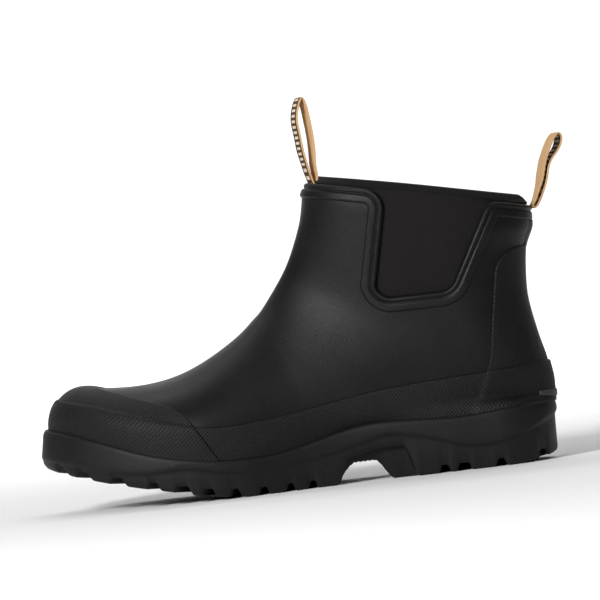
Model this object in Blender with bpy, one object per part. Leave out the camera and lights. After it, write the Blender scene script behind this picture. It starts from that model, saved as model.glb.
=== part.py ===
"""Short rubber boot with elastic gores, left foot.

The boot stands on its sole with the toe towards -X and its outer side towards -Y.
Stations run along the boot from the back of the outsole towards the toe.
"""
import math

import bmesh
import bpy
import numpy as np

# Driving sizes in metres
LENGTH = 0.2994
BALL_WIDTH = 0.108
HEEL_WIDTH = 0.077
COLLAR_WIDTH = 0.084
SOLE_HEIGHT = 0.034
TOE_HEIGHT = 0.071
INSTEP_HEIGHT = 0.104
COLLAR_HEIGHT = 0.177
BACK_HEIGHT = 0.153
WALL = 0.0022
GAP = 0.0003
SEAT_GAP = 0.0007

# Overlays on the rubber upper
RAND_HEIGHT = 0.020
RAND_THICK = 0.0013
CAP_THICK = 0.0014
CAP_GAP = 0.0006
COUNTER_THICK = 0.0009
BAND_THICK = 0.0009
BAND_GAP = 0.0005
BAND_WIDTH = 0.009
HEEL_BAR_THICK = 0.0015
HEEL_BAR_GAP = 0.0006
HEEL_BAR_HEIGHT = 0.0048
HEEL_BAR_REACH = 0.0115
HEEL_BAR_SEAT = 0.0012
TAB_THICK = 0.0012
TAB_WIDTH = 0.011

# Soft lining, its edge tape and the pull loops
SLEEVE_THICK = 0.0030
BINDING_THICK = 0.0010
BINDING_GAP = 0.0008
TAPE_THICK = 0.0013
TAPE_WIDTH = 0.0115
FRONT_LOOP_HEIGHT = 0.0485
BACK_LOOP_HEIGHT = 0.0385
FRONT_LOOP_ACROSS = -0.012
BACK_LOOP_ACROSS = 0.003
FRONT_LOOP_TURN = math.radians(3)
BACK_LOOP_TURN = math.radians(15)
BINDING_ROUND = 0.0004

# Sole
INSOLE_THICK = 0.0035
SOLE_MARGIN = 0.0038
TOE_SET = 0.0083
HEEL_SET = 0.0018
WAVE_STEP = 0.0016
TREAD_INSET = 0.0026
LUG_DEPTH = 0.0045
GROOVE_WIDTH = 0.0050
GROOVE_ANGLE = math.radians(14)
SPINE_WIDTH = 0.015
FLOOR_INSET = 0.0005
FLOOR_DRAFT = 0.0006
TREAD_CHAMFER = 0.0010
TREAD_RISE = 0.0020
STEP_RISE = 0.0010
TOE_LEAN = 0.0022
TOP_ROUND = 0.0016
TOP_INSET = 0.0018
ORIGIN_STATION = 0.041
MERGE = 0.00005

# Radii in side view
GORE_BACK_TOP_RADIUS = 0.008
GORE_BACK_RADIUS = 0.010
GORE_FRONT_RADIUS = 0.009
GORE_FRONT_TOP_RADIUS = 0.012
LEAST_RADIUS = 0.0005
CAP_RADIUS = 0.030
CAP_SKEW = 0.008
COUNTER_TOP_RADIUS = 0.008
COUNTER_RADIUS = 0.060

# Lines along the side of the sole, heel to toe. The station is a share of LENGTH, the heights
# are shares of SOLE_HEIGHT and the last column is a share of RAND_HEIGHT above the feather line.
#   station  wave  feather  floor   rand
SIDE_LINES = (
    (0.000, 0.79, 1.000, 0.76, 1.13),
    (0.050, 0.59, 1.000, 0.76, 1.11),
    (0.120, 0.41, 0.962, 0.76, 1.12),
    (0.185, 0.42, 0.924, 0.76, 1.14),
    (0.250, 0.61, 0.947, 0.75, 1.06),
    (0.300, 0.71, 0.974, 0.74, 0.97),
    (0.340, 0.74, 0.982, 0.73, 0.91),
    (0.385, 0.65, 0.956, 0.70, 0.87),
    (0.450, 0.53, 0.841, 0.62, 0.92),
    (0.520, 0.45, 0.700, 0.49, 1.01),
    (0.585, 0.41, 0.647, 0.43, 1.01),
    (0.650, 0.45, 0.671, 0.43, 0.94),
    (0.720, 0.58, 0.759, 0.47, 0.96),
    (0.790, 0.57, 0.906, 0.60, 1.01),
    (0.850, 0.64, 1.094, 0.75, 0.99),
    (0.920, 0.79, 1.309, 0.94, 0.93),
    (1.000, 0.97, 1.500, 1.18, 0.85),
)
# Height of the tread above the ground: shares of LENGTH and of SOLE_HEIGHT.
TREAD_LINE = (
    (0.000, 0.19),
    (0.018, 0.10),
    (0.060, 0.03),
    (0.090, 0.00),
    (0.590, 0.00),
    (0.635, 0.035),
    (0.685, 0.09),
    (0.752, 0.23),
    (0.819, 0.365),
    (0.892, 0.53),
    (0.953, 0.69),
    (1.000, 0.83),
)
# Plan of the outsole: centre line and half width as shares of BALL_WIDTH.
#   station  centre  half
PLAN = (
    (0.00, 0.000, 0.356),
    (0.15, 0.000, 0.356),
    (0.30, -0.014, 0.343),
    (0.42, -0.032, 0.326),
    (0.50, -0.037, 0.366),
    (0.60, -0.035, 0.458),
    (0.68, -0.028, 0.498),
    (0.75, -0.014, 0.502),
    (0.82, 0.009, 0.486),
    (0.90, 0.042, 0.463),
    (1.00, 0.083, 0.445),
)
HEEL_ROUND = 0.120 * LENGTH
TOE_ROUND = 0.225 * LENGTH
NOSE_ROUND = 0.073 * LENGTH
TOE_FULLNESS = 2.2

# Sections of the upper from the toe to the collar. Each runs from its low end on the feather line
# or the back seam to its high end on the front line. Stations are shares of LENGTH; low_z is a share
# of BACK_HEIGHT, 0 on the feather line. widest is where along the section the half width is
# reached, full is the roundness of its top, back is how deep the back is rounded, ridge moves the
# top towards the inner side as a share of BALL_WIDTH.
#  low_s  low_z   high_s  high_z                 half_width            widest  full  back          ridge
SECTIONS = (
    (0.972, 0.000, 0.972, 1.000 * TOE_HEIGHT, 0.410 * BALL_WIDTH, 0.34, 2.30, HEEL_ROUND, 0.000),
    (0.908, 0.000, 0.908, 1.000 * TOE_HEIGHT, 0.430 * BALL_WIDTH, 0.34, 2.30, HEEL_ROUND, 0.015),
    (0.835, 0.000, 0.832, 0.973 * TOE_HEIGHT, 0.458 * BALL_WIDTH, 0.32, 2.25, HEEL_ROUND, 0.035),
    (0.762, 0.000, 0.755, 0.986 * TOE_HEIGHT, 0.477 * BALL_WIDTH, 0.30, 2.20, HEEL_ROUND, 0.050),
    (0.688, 0.000, 0.678, 0.738 * INSTEP_HEIGHT, 0.477 * BALL_WIDTH, 0.28, 2.10, HEEL_ROUND, 0.055),
    (0.608, 0.000, 0.601, 0.862 * INSTEP_HEIGHT, 0.437 * BALL_WIDTH, 0.26, 2.00, HEEL_ROUND, 0.055),
    (0.521, 0.000, 0.565, 0.947 * INSTEP_HEIGHT, 0.385 * BALL_WIDTH, 0.25, 2.00, HEEL_ROUND, 0.045),
    (0.418, 0.000, 0.544, 1.000 * INSTEP_HEIGHT, 0.340 * BALL_WIDTH, 0.26, 2.00, HEEL_ROUND, 0.035),
    (0.300, 0.000, 0.528, 0.623 * COLLAR_HEIGHT, 0.460 * HEEL_WIDTH, 0.30, 2.00, HEEL_ROUND, 0.025),
    (0.184, 0.000, 0.515, 0.651 * COLLAR_HEIGHT, 0.460 * HEEL_WIDTH, 0.34, 2.00, HEEL_ROUND, 0.020),
    (0.084, 0.000, 0.504, 0.678 * COLLAR_HEIGHT, 0.460 * HEEL_WIDTH, 0.38, 2.00, HEEL_ROUND, 0.015),
    (0.006, 0.222, 0.494, 0.700 * COLLAR_HEIGHT, 0.460 * HEEL_WIDTH, 0.42, 2.00, HEEL_ROUND, 0.010),
    (0.005, 0.294, 0.484, 0.729 * COLLAR_HEIGHT, 0.467 * HEEL_WIDTH, 0.45, 2.00, HEEL_ROUND, 0.005),
    (0.010, 0.375, 0.474, 0.762 * COLLAR_HEIGHT, 0.474 * HEEL_WIDTH, 0.47, 2.05, 0.46 * COLLAR_WIDTH, 0.0),
    (0.025, 0.503, 0.462, 0.811 * COLLAR_HEIGHT, 0.446 * COLLAR_WIDTH, 0.50, 2.10, 0.50 * COLLAR_WIDTH, 0.0),
    (0.034, 0.641, 0.452, 0.860 * COLLAR_HEIGHT, 0.464 * COLLAR_WIDTH, 0.50, 2.15, 0.57 * COLLAR_WIDTH, 0.0),
    (0.027, 0.797, 0.444, 0.918 * COLLAR_HEIGHT, 0.488 * COLLAR_WIDTH, 0.50, 2.20, 0.64 * COLLAR_WIDTH, 0.0),
    (0.009, 0.889, 0.440, 0.952 * COLLAR_HEIGHT, 0.500 * COLLAR_WIDTH, 0.50, 2.20, 0.69 * COLLAR_WIDTH, 0.0),
    (0.007, 0.958, 0.426, 0.983 * COLLAR_HEIGHT, 0.494 * COLLAR_WIDTH, 0.50, 2.20, 0.71 * COLLAR_WIDTH, 0.0),
    (0.014, 0.987, 0.410, 1.003 * COLLAR_HEIGHT, 0.480 * COLLAR_WIDTH, 0.50, 2.20, 0.71 * COLLAR_WIDTH, 0.0),
)
HEEL_ROW = 11
EDGE_ROW = 18
TOP_ROW = 19
SLEEVE_ROW = 11.7
BINDING_ROW = 18.4
# Rows that the overlays reach over
CAP_LAST_ROW = 7
RAND_LAST_ROW = 15
SHAFT_FIRST_ROW = 7.5
BACK_FIRST_ROW = 9
BAR_LAST_ROW = 14


def smooth_curve(table, column):
    """A C2 curve through one column of a table whose first column is the station."""
    xs = np.array([row[0] for row in table])
    ys = np.array([row[column] for row in table])
    return spline(xs, ys)


def spline(xs, ys):
    """A natural cubic spline as a function."""
    count = len(xs)
    steps = np.diff(xs)
    matrix = np.eye(count)
    right = np.zeros(count)
    for i in range(1, count - 1):
        matrix[i, i - 1:i + 2] = (steps[i - 1], 2 * (steps[i - 1] + steps[i]), steps[i])
        right[i] = 6 * ((ys[i + 1] - ys[i]) / steps[i] - (ys[i] - ys[i - 1]) / steps[i - 1])
    bend = np.linalg.solve(matrix, right)

    def value(x):
        x = np.clip(x, xs[0], xs[-1])
        k = np.clip(np.searchsorted(xs, x) - 1, 0, count - 2)
        h = steps[k]
        a = (xs[k + 1] - x) / h
        b = (x - xs[k]) / h
        cubic = ((a ** 3 - a) * bend[k] + (b ** 3 - b) * bend[k + 1]) * h ** 2 / 6
        return a * ys[k] + b * ys[k + 1] + cubic

    return value


def monotone(xs, ys):
    """A curve that never overshoots its points, as a function."""
    steps = np.diff(xs)
    slopes = np.diff(ys) / steps
    tangents = np.zeros(len(xs))
    for i in range(1, len(xs) - 1):
        if slopes[i - 1] * slopes[i] > 0:
            tangents[i] = 2 / (1 / slopes[i - 1] + 1 / slopes[i])
    tangents[0] = slopes[0]
    tangents[-1] = slopes[-1]

    def value(x):
        x = np.clip(x, xs[0], xs[-1])
        k = np.clip(np.searchsorted(xs, x) - 1, 0, len(xs) - 2)
        h = steps[k]
        t = (x - xs[k]) / h
        start = (1 + 2 * t) * (1 - t) ** 2 * ys[k] + t * (1 - t) ** 2 * h * tangents[k]
        end = t ** 2 * (3 - 2 * t) * ys[k + 1] + t ** 2 * (t - 1) * h * tangents[k + 1]
        return start + end

    return value


wave_share = smooth_curve(SIDE_LINES, 1)
feather_share = smooth_curve(SIDE_LINES, 2)
floor_share = smooth_curve(SIDE_LINES, 3)
rand_share = smooth_curve(SIDE_LINES, 4)
centre_share = smooth_curve(PLAN, 1)
half_share = smooth_curve(PLAN, 2)
TREAD = np.array(TREAD_LINE)
tread_share = monotone(TREAD[:, 0], TREAD[:, 1])


def feather(s):
    """Height of the top edge of the outsole's side."""
    return SOLE_HEIGHT * feather_share(s / LENGTH)


def wave(s):
    """Height of the step along the outsole's side."""
    return SOLE_HEIGHT * wave_share(s / LENGTH)


def sole_floor(s):
    """Height of the floor inside the outsole."""
    return SOLE_HEIGHT * floor_share(s / LENGTH)


def tread(s):
    """Height of the tread."""
    return SOLE_HEIGHT * np.maximum(tread_share(s / LENGTH), 0.0)


def rand_top(s):
    """Height of the upper edge of the foxing band."""
    return feather(s) + RAND_HEIGHT * rand_share(s / LENGTH)


def centre(s):
    """The centre line's distance from the heel's axis."""
    return BALL_WIDTH * centre_share(s / LENGTH)


def rounding(distance, depth, fullness=2.0):
    """1 inside a rounded end, falling to 0 at the end itself."""
    inside = np.clip(1 - distance / depth, 0.0, 1.0)
    return (1 - inside ** fullness) ** (1 / fullness)


def plan_half(s):
    """Half the outsole's width before its ends are rounded."""
    return BALL_WIDTH * half_share(s / LENGTH) * heel_scale(s)


def heel_scale(s):
    """How far the heel's own width changes the plan there."""
    plan_width = 2 * PLAN[0][2] * BALL_WIDTH
    towards_heel = np.clip(1 - s / (0.45 * LENGTH), 0.0, 1.0)
    return 1 + (HEEL_WIDTH / plan_width - 1) * towards_heel


def outline_side(s, side_inset, heel_inset, toe_inset):
    """Half width of the outline drawn in by the given insets."""
    heel_end = rounding(s - heel_inset, HEEL_ROUND)
    toe_end = rounding(LENGTH - toe_inset - s, TOE_ROUND, TOE_FULLNESS)
    return (plan_half(s) - side_inset) * heel_end * toe_end


SECTION_TABLE = np.array(SECTIONS)
ROW_NUMBERS = np.arange(len(SECTIONS), dtype=float)
low_station = monotone(ROW_NUMBERS, SECTION_TABLE[:, 0] * LENGTH)
low_height = monotone(ROW_NUMBERS, SECTION_TABLE[:, 1] * BACK_HEIGHT)
high_station = spline(ROW_NUMBERS, SECTION_TABLE[:, 2] * LENGTH)
high_height = spline(ROW_NUMBERS, SECTION_TABLE[:, 3])
half_width = spline(ROW_NUMBERS, SECTION_TABLE[:, 4])
widest_share = spline(ROW_NUMBERS, SECTION_TABLE[:, 5])
fullness_of = spline(ROW_NUMBERS, SECTION_TABLE[:, 6])
back_depth = spline(ROW_NUMBERS, SECTION_TABLE[:, 7])
ridge_of = spline(ROW_NUMBERS, SECTION_TABLE[:, 8] * BALL_WIDTH)
BACK_ROWS = np.linspace(HEEL_ROW, TOP_ROW, 81)
BACK_STATIONS = low_station(BACK_ROWS)
BACK_LEVELS = low_height(BACK_ROWS)
UPPER_TOE = LENGTH - TOE_SET


def back_station(z):
    """Where the back seam lies at a height."""
    return np.interp(z, BACK_LEVELS, BACK_STATIONS)


def section_ends(row):
    """Low and high ends of a section, as station and height."""
    low_s = float(low_station(row))
    low_z = max(float(feather(low_s)) + SEAT_GAP, float(low_height(row)))
    high_s = float(high_station(row))
    nose = float(rounding(UPPER_TOE - high_s, NOSE_ROUND, TOE_FULLNESS))
    high_z = low_z + (float(high_height(row)) - low_z) * nose
    return (low_s, low_z), (high_s, high_z)


def section_points(row, count, inner_side):
    """Points of one side of a section, evenly spaced from its low to its high end."""
    (low_s, low_z), (high_s, high_z) = section_ends(row)
    widest = float(widest_share(row))
    full = float(fullness_of(row))
    turn = np.linspace(0, math.pi / 2, 60)
    lower = widest * (1 - np.cos(turn))
    upper = widest + (1 - widest) * np.sin(turn[1:])
    along = np.concatenate((lower, upper))
    s = low_s + (high_s - low_s) * along
    z = low_z + (high_z - low_z) * along
    foot = float(plan_half(np.array(low_s))) - SOLE_MARGIN
    if row >= HEEL_ROW:
        foot = float(half_width(row))
    reach = float(half_width(row))
    below = np.clip(along / widest, 0.0, 1.0)
    above = np.clip((along - widest) / (1 - widest), 0.0, 1.0)
    half = foot + (reach - foot) * (1 - (1 - below) ** 2)
    half = half * (1 - above ** full) ** (1 / full)
    half = half * rounding(s - back_station(z), float(back_depth(row)))
    half = half * rounding(UPPER_TOE - s, TOE_ROUND, TOE_FULLNESS)
    if row >= HEEL_ROW:
        half[0] = 0.0
    lean = float(ridge_of(row)) * above ** 2 * (3 - 2 * above)
    side = 1 if inner_side else -1
    y = centre(s) + lean + side * half
    points = np.stack((ORIGIN_STATION - s, y, z), axis=1)
    spans = np.linalg.norm(np.diff(points, axis=0), axis=1)
    travelled = np.concatenate(((0.0,), np.cumsum(spans)))
    wanted = np.linspace(0, travelled[-1], count + 1)
    columns = [np.interp(wanted, travelled, points[:, k]) for k in range(3)]
    return np.stack(columns, axis=1)


TOE_ROWS = [(i / 6) ** 2 for i in range(6)]
FOOT_ROWS = [1 + 0.6 * i for i in range(15)]
HEEL_ROWS = [10 + 0.25 * i for i in range(4)]
SHAFT_ROWS = [11 + 0.7 * i for i in range(11)]
ROW_STEP = 0.3
TOP_ROWS = [BINDING_ROW, BINDING_ROW + ROW_STEP, TOP_ROW]
ALL_ROWS = TOE_ROWS + FOOT_ROWS + HEEL_ROWS + SHAFT_ROWS + TOP_ROWS
SLEEVE_ROWS = [row for row in ALL_ROWS if row >= SLEEVE_ROW]
SIDE_POINTS = 11


def ring(row):
    """One whole section, from the outer side's low end over the top to the inner side's."""
    outer = section_points(row, SIDE_POINTS, False)
    inner = section_points(row, SIDE_POINTS, True)
    return np.concatenate((outer, inner[-2::-1]))


def skin(rows):
    """The upper's outer surface over some rows, as a bmesh with normals pointing out."""
    mesh = bmesh.new()
    previous = None
    for row in rows:
        current = [mesh.verts.new(point) for point in ring(row)]
        if previous:
            for k in range(len(current) - 1):
                mesh.faces.new((current[k], current[k + 1], previous[k + 1], previous[k]))
        previous = current
    bmesh.ops.remove_doubles(mesh, verts=mesh.verts, dist=MERGE)
    bmesh.ops.dissolve_degenerate(mesh, dist=MERGE, edges=mesh.edges)
    bmesh.ops.triangulate(mesh, faces=mesh.faces, quad_method="SHORT_EDGE")
    mesh.normal_update()
    return mesh


def jacket(rows, inner, outer):
    """A closed shell between two distances from the upper's surface."""
    mesh = skin(rows)
    outside = list(mesh.verts)
    normals = [vert.normal.copy() for vert in outside]
    places = [vert.co.copy() for vert in outside]
    faces = list(mesh.faces)
    rim = [edge for edge in mesh.edges if edge.is_boundary]
    partner = {}
    for vert, normal, place in zip(outside, normals, places):
        vert.co = place + normal * outer
        partner[vert] = mesh.verts.new(place + normal * inner)
    for face in faces:
        mesh.faces.new([partner[vert] for vert in reversed(face.verts)])
    for edge in rim:
        loop = edge.link_loops[0]
        first = loop.vert
        second = loop.link_loop_next.vert
        mesh.faces.new((second, first, partner[first], partner[second]))
        for vert in (first, second):
            station = ORIGIN_STATION - vert.co.x
            if vert.co.z < feather(station) + RAND_THICK + 3 * GAP:
                seat(vert)
                seat(partner[vert])
    return mesh


def seat(vert):
    """Put a lower-edge point just over the outsole."""
    vert.co.z = float(feather(ORIGIN_STATION - vert.co.x)) + SEAT_GAP


def link(name, mesh, colour, roughness, metallic=0.0):
    """Turn a bmesh into an object with its own material."""
    data = bpy.data.meshes.new(name)
    mesh.normal_update()
    mesh.to_mesh(data)
    mesh.free()
    data.shade_smooth()
    data.set_sharp_from_angle(angle=math.radians(35))
    item = bpy.data.objects.new(name, data)
    bpy.context.collection.objects.link(item)
    material = bpy.data.materials.new(name)
    material.use_nodes = True
    shader = material.node_tree.nodes["Principled BSDF"]
    shader.inputs["Base Color"].default_value = (*colour, 1.0)
    shader.inputs["Roughness"].default_value = roughness
    shader.inputs["Metallic"].default_value = metallic
    data.materials.append(material)
    return item


def prism(name, outline, from_y, to_y, other_outline=None):
    """A hidden cutter with the given side outline, between two widths."""
    mesh = bmesh.new()
    near = [mesh.verts.new((ORIGIN_STATION - s, from_y, z)) for s, z in outline]
    far = [mesh.verts.new((ORIGIN_STATION - s, to_y, z)) for s, z in other_outline or outline]
    mesh.faces.new(near)
    mesh.faces.new(list(reversed(far)))
    for k in range(len(near)):
        after = (k + 1) % len(near)
        mesh.faces.new((near[after], near[k], far[k], far[after]))
    bmesh.ops.recalc_face_normals(mesh, faces=mesh.faces)
    data = bpy.data.meshes.new(name)
    mesh.to_mesh(data)
    mesh.free()
    item = bpy.data.objects.new(name, data)
    bpy.context.collection.objects.link(item)
    item.hide_render = True
    item.display_type = "WIRE"
    return item


def boolean(item, cutter, operation, solver="EXACT"):
    """Add a Boolean to an object."""
    modifier = item.modifiers.new(cutter.name, "BOOLEAN")
    modifier.operation = operation
    modifier.solver = solver
    modifier.object = cutter


def rounded_path(corners, offset=0.0, steps=6):
    """An open path through corners with radii, moved to its right by the offset."""
    places = [np.array(corner[:2]) for corner in corners]
    headings = [(b - a) / np.linalg.norm(b - a) for a, b in zip(places, places[1:])]
    path = [places[0] + right_of(headings[0]) * offset]
    for k in range(1, len(places) - 1):
        before, after = headings[k - 1], headings[k]
        bend = before[0] * after[1] - before[1] * after[0]
        angle = math.asin(max(-1.0, min(1.0, bend)))
        half = math.tan(abs(angle) / 2)
        radius = max(corners[k][2] + math.copysign(offset, angle), LEAST_RADIUS)
        miter = places[k] + (right_of(before) + right_of(after)) * offset / (1 + before @ after)
        start = miter - before * radius * half
        pivot = start - right_of(before) * math.copysign(radius, angle)
        for i in range(steps + 1):
            turn = angle * i / steps
            arm = right_of(before) * math.copysign(radius, angle)
            path.append(pivot + np.array((
                arm[0] * math.cos(turn) - arm[1] * math.sin(turn),
                arm[0] * math.sin(turn) + arm[1] * math.cos(turn))))
    path.append(places[-1] + right_of(headings[-1]) * offset)
    return [tuple(point) for point in path]


def right_of(heading):
    """The direction to the right of a heading."""
    return np.array((heading[1], -heading[0]))


# Stations just clear of the heel and of the toe, where the cutters end
BEHIND = -0.05 * LENGTH
AHEAD = 1.05 * LENGTH
EDGE_LOW, EDGE_HIGH = section_ends(EDGE_ROW)
EDGE_SLOPE = (EDGE_HIGH[1] - EDGE_LOW[1]) / (EDGE_HIGH[0] - EDGE_LOW[0])


def edge_line(s):
    """Height of the rubber's top edge beside the gores."""
    return EDGE_LOW[1] + EDGE_SLOPE * (s - EDGE_LOW[0])


# Corners of the opening in the rubber, back to front, with the radius of each. The gore's top
# corners lie on the edge line; its bottom is at GORE_BOTTOM.
GORE_BOTTOM = 0.585 * COLLAR_HEIGHT
BACK_CORNER = 0.089 * LENGTH
FRONT_CORNER = 0.284 * LENGTH
GORE_CORNERS = (
    (2 * BEHIND, edge_line(2 * BEHIND), 0.0),
    (BACK_CORNER, edge_line(BACK_CORNER), GORE_BACK_TOP_RADIUS),
    (0.181 * LENGTH, GORE_BOTTOM, GORE_BACK_RADIUS),
    (0.317 * LENGTH, GORE_BOTTOM, GORE_FRONT_RADIUS),
    (FRONT_CORNER, edge_line(FRONT_CORNER), GORE_FRONT_TOP_RADIUS),
    (0.55 * LENGTH, edge_line(0.55 * LENGTH), 0.0),
)
ABOVE = 1.4 * COLLAR_HEIGHT


def opening_cutter(name, offset):
    """Everything above the rubber's edge and inside the gores."""
    path = rounded_path(GORE_CORNERS, offset)
    outline = path + [(path[-1][0], ABOVE), (path[0][0], ABOVE)]
    return prism(name, outline, -BALL_WIDTH, BALL_WIDTH)


def make_upper(opening):
    upper = link("upper", jacket(ALL_ROWS, -WALL, 0.0), (0.022, 0.022, 0.024), 0.55)
    boolean(upper, opening, "DIFFERENCE")
    return upper


def make_sleeve():
    outer = -WALL - GAP
    mesh = jacket(SLEEVE_ROWS, outer - SLEEVE_THICK, outer)
    return link("neoprene_sleeve", mesh, (0.030, 0.026, 0.029), 0.9)


def make_binding():
    """Edge tape folded over the top of the sleeve."""
    outer = -WALL - GAP + BINDING_GAP
    outer_face = outer + BINDING_THICK
    inner = -WALL - GAP - SLEEVE_THICK - BINDING_GAP
    inner_face = inner - BINDING_THICK
    rows = [row for row in ALL_ROWS if row >= BINDING_ROW]
    rings = offset_rings(rows)
    top = rows[-1]
    profile = [(row, outer_face, 0.0) for row in rows]
    profile += [(top, outer_face - BINDING_ROUND, BINDING_GAP + BINDING_THICK)]
    profile += [(top, inner_face + BINDING_ROUND, BINDING_GAP + BINDING_THICK)]
    profile += [(row, inner_face, 0.0) for row in reversed(rows)]
    profile += [(row, inner, BINDING_GAP if row == top else 0.0) for row in rows]
    profile += [(row, outer, BINDING_GAP if row == top else 0.0) for row in reversed(rows)]
    mesh = bmesh.new()
    loops = []
    for row, offset, lift in profile:
        places, normals, ups = rings[row]
        loops.append([mesh.verts.new(p + n * offset + u * lift) for p, n, u in zip(places, normals, ups)])
    count = len(loops[0])
    for k in range(len(loops)):
        here, there = loops[k], loops[(k + 1) % len(loops)]
        for j in range(count):
            after = (j + 1) % count
            mesh.faces.new((here[j], here[after], there[after], there[j]))
    bmesh.ops.recalc_face_normals(mesh, faces=mesh.faces)
    return link("collar_binding", mesh, (0.010, 0.010, 0.011), 0.9)


def offset_rings(rows):
    """Places, normals and upward directions around the closed sections near the collar."""
    grid = np.array([ring(row)[:-1] for row in [rows[0] - ROW_STEP] + rows])
    around = np.roll(grid, -1, axis=1) - np.roll(grid, 1, axis=1)
    upward = np.gradient(grid, axis=0)
    normals = np.cross(upward, around)
    normals /= np.linalg.norm(normals, axis=2, keepdims=True)
    centre_point = grid.mean(axis=1, keepdims=True)
    if np.mean(np.sum(normals * (grid - centre_point), axis=2)) < 0:
        normals = -normals
    upward /= np.linalg.norm(upward, axis=2, keepdims=True)
    return {row: (grid[k], normals[k], upward[k]) for k, row in enumerate([None] + rows) if row}


def make_edge_band(opening, band):
    """Raised band round the front, the gores and the back of the rubber's edge."""
    rows = [row for row in ALL_ROWS if row >= SHAFT_FIRST_ROW]
    item = link("edge_band", jacket(rows, BAND_GAP, BAND_GAP + BAND_THICK), (0.020, 0.020, 0.022), 0.5)
    boolean(item, band, "INTERSECT")
    boolean(item, opening, "DIFFERENCE")
    return item


# How far the cap's cutter reaches each way, as a share of BALL_WIDTH
CAP_REACH = 0.6


def cap_edge(end_shift, clearance):
    """Rear edge of the toe cap in side view, with the part in front of it."""
    corners = (
        (0.953 * LENGTH, 1.095 * TOE_HEIGHT, 0.0),
        (0.715 * LENGTH, 0.748 * TOE_HEIGHT, CAP_RADIUS),
        (0.642 * LENGTH + end_shift, 0.225 * TOE_HEIGHT, 0.0),
    )
    path = rounded_path(corners, clearance)
    return path + [(AHEAD, path[-1][1]), (AHEAD, 1.2 * TOE_HEIGHT)]


def cap_cutter(name, clearance):
    """Everything in front of the toe cap's rear edge, which lies further back on the inner side."""
    near_edge = cap_edge(CAP_SKEW * (CAP_REACH - 0.5), clearance)
    far_edge = cap_edge(-CAP_SKEW * (CAP_REACH + 0.5), clearance)
    return prism(name, near_edge, -CAP_REACH * BALL_WIDTH, CAP_REACH * BALL_WIDTH, far_edge)


def make_toe_cap(cap_front):
    rows = [row for row in ALL_ROWS if row <= CAP_LAST_ROW]
    item = link("toe_cap", jacket(rows, GAP, GAP + CAP_THICK), (0.024, 0.025, 0.028), 0.5)
    boolean(item, cap_front, "INTERSECT")
    return item


def band_outline(top, shift=0.0):
    """Side outline between the ground and a line over the whole length."""
    stations = np.linspace(BEHIND, AHEAD, 50)
    line = [(s, float(top(np.clip(s, 0.0, LENGTH))) + shift) for s in stations]
    return line + [(stations[-1], 0.0), (stations[0], 0.0)]


def make_rand(cap_clear, below_rand):
    rows = [row for row in ALL_ROWS if row < RAND_LAST_ROW]
    item = link("rand", jacket(rows, GAP, GAP + RAND_THICK), (0.024, 0.025, 0.028), 0.5)
    boolean(item, below_rand, "INTERSECT")
    boolean(item, cap_clear, "DIFFERENCE")
    return item


COUNTER_TOP = 0.811 * BACK_HEIGHT
COUNTER_BOTTOM = 0.180 * BACK_HEIGHT


def counter_outline():
    """The stiffener round the heel, in side view."""
    corners = (
        (BEHIND, COUNTER_TOP, 0.0),
        (0.072 * LENGTH, COUNTER_TOP, COUNTER_TOP_RADIUS),
        (0.108 * LENGTH, 0.555 * BACK_HEIGHT, COUNTER_RADIUS),
        (0.122 * LENGTH, 0.390 * BACK_HEIGHT, COUNTER_RADIUS),
        (0.170 * LENGTH, COUNTER_BOTTOM, 0.0),
    )
    path = rounded_path(corners)
    return path + [(BEHIND, COUNTER_BOTTOM)]


def make_counter(below_rand):
    rows = [row for row in ALL_ROWS if row >= SHAFT_FIRST_ROW]
    item = link("heel_counter", jacket(rows, GAP, GAP + COUNTER_THICK), (0.024, 0.025, 0.028), 0.5)
    outline = prism("counter_cutter", counter_outline(), -BALL_WIDTH, BALL_WIDTH)
    boolean(item, outline, "INTERSECT")
    boolean(item, below_rand, "DIFFERENCE")
    return item


def make_heel_bar():
    """Kick bar round the back of the heel, on the foxing band."""
    rows = [row for row in ALL_ROWS if BACK_FIRST_ROW <= row <= BAR_LAST_ROW]
    inner = GAP + RAND_THICK + HEEL_BAR_GAP
    item = link("heel_bar", jacket(rows, inner, inner + HEEL_BAR_THICK), (0.075, 0.078, 0.082), 0.5)
    bottom = SOLE_HEIGHT + HEEL_BAR_SEAT
    outline = [
        (BEHIND, bottom),
        (HEEL_BAR_REACH, bottom),
        (HEEL_BAR_REACH, bottom + HEEL_BAR_HEIGHT),
        (BEHIND, bottom + HEEL_BAR_HEIGHT),
    ]
    boolean(item, prism("bar_cutter", outline, -BALL_WIDTH, BALL_WIDTH), "INTERSECT", "MANIFOLD")
    item.modifiers.new("facets", "TRIANGULATE")
    return item


def make_back_tab():
    """Tape over the back seam between the counter and the edge band."""
    rows = [row for row in ALL_ROWS if row >= BACK_FIRST_ROW]
    item = link("back_tab", jacket(rows, GAP, GAP + TAB_THICK), (0.16, 0.16, 0.17), 0.7)
    bottom = COUNTER_TOP + GAP
    top = edge_line(0.0) - BAND_WIDTH / math.cos(math.atan(EDGE_SLOPE)) - GAP
    outline = [(BEHIND, bottom), (-BEHIND, bottom), (-BEHIND, top), (BEHIND, top)]
    boolean(item, prism("tab_cutter", outline, -TAB_WIDTH / 2, TAB_WIDTH / 2), "INTERSECT")
    return item


SOLE_STATIONS = 46


def sole_ring(inset, heel_inset, toe_inset, height):
    """Outer-side and inner-side points of one level of the sole."""
    turn = np.linspace(0, math.pi, SOLE_STATIONS + 1)
    s = heel_inset + (LENGTH - heel_inset - toe_inset) * (1 - np.cos(turn)) / 2
    half = outline_side(s, inset, heel_inset, toe_inset)
    z = height(s)
    outer = np.stack((ORIGIN_STATION - s, centre(s) - half, z), axis=1)
    inner = np.stack((ORIGIN_STATION - s, centre(s) + half, z), axis=1)
    return outer, inner


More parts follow.
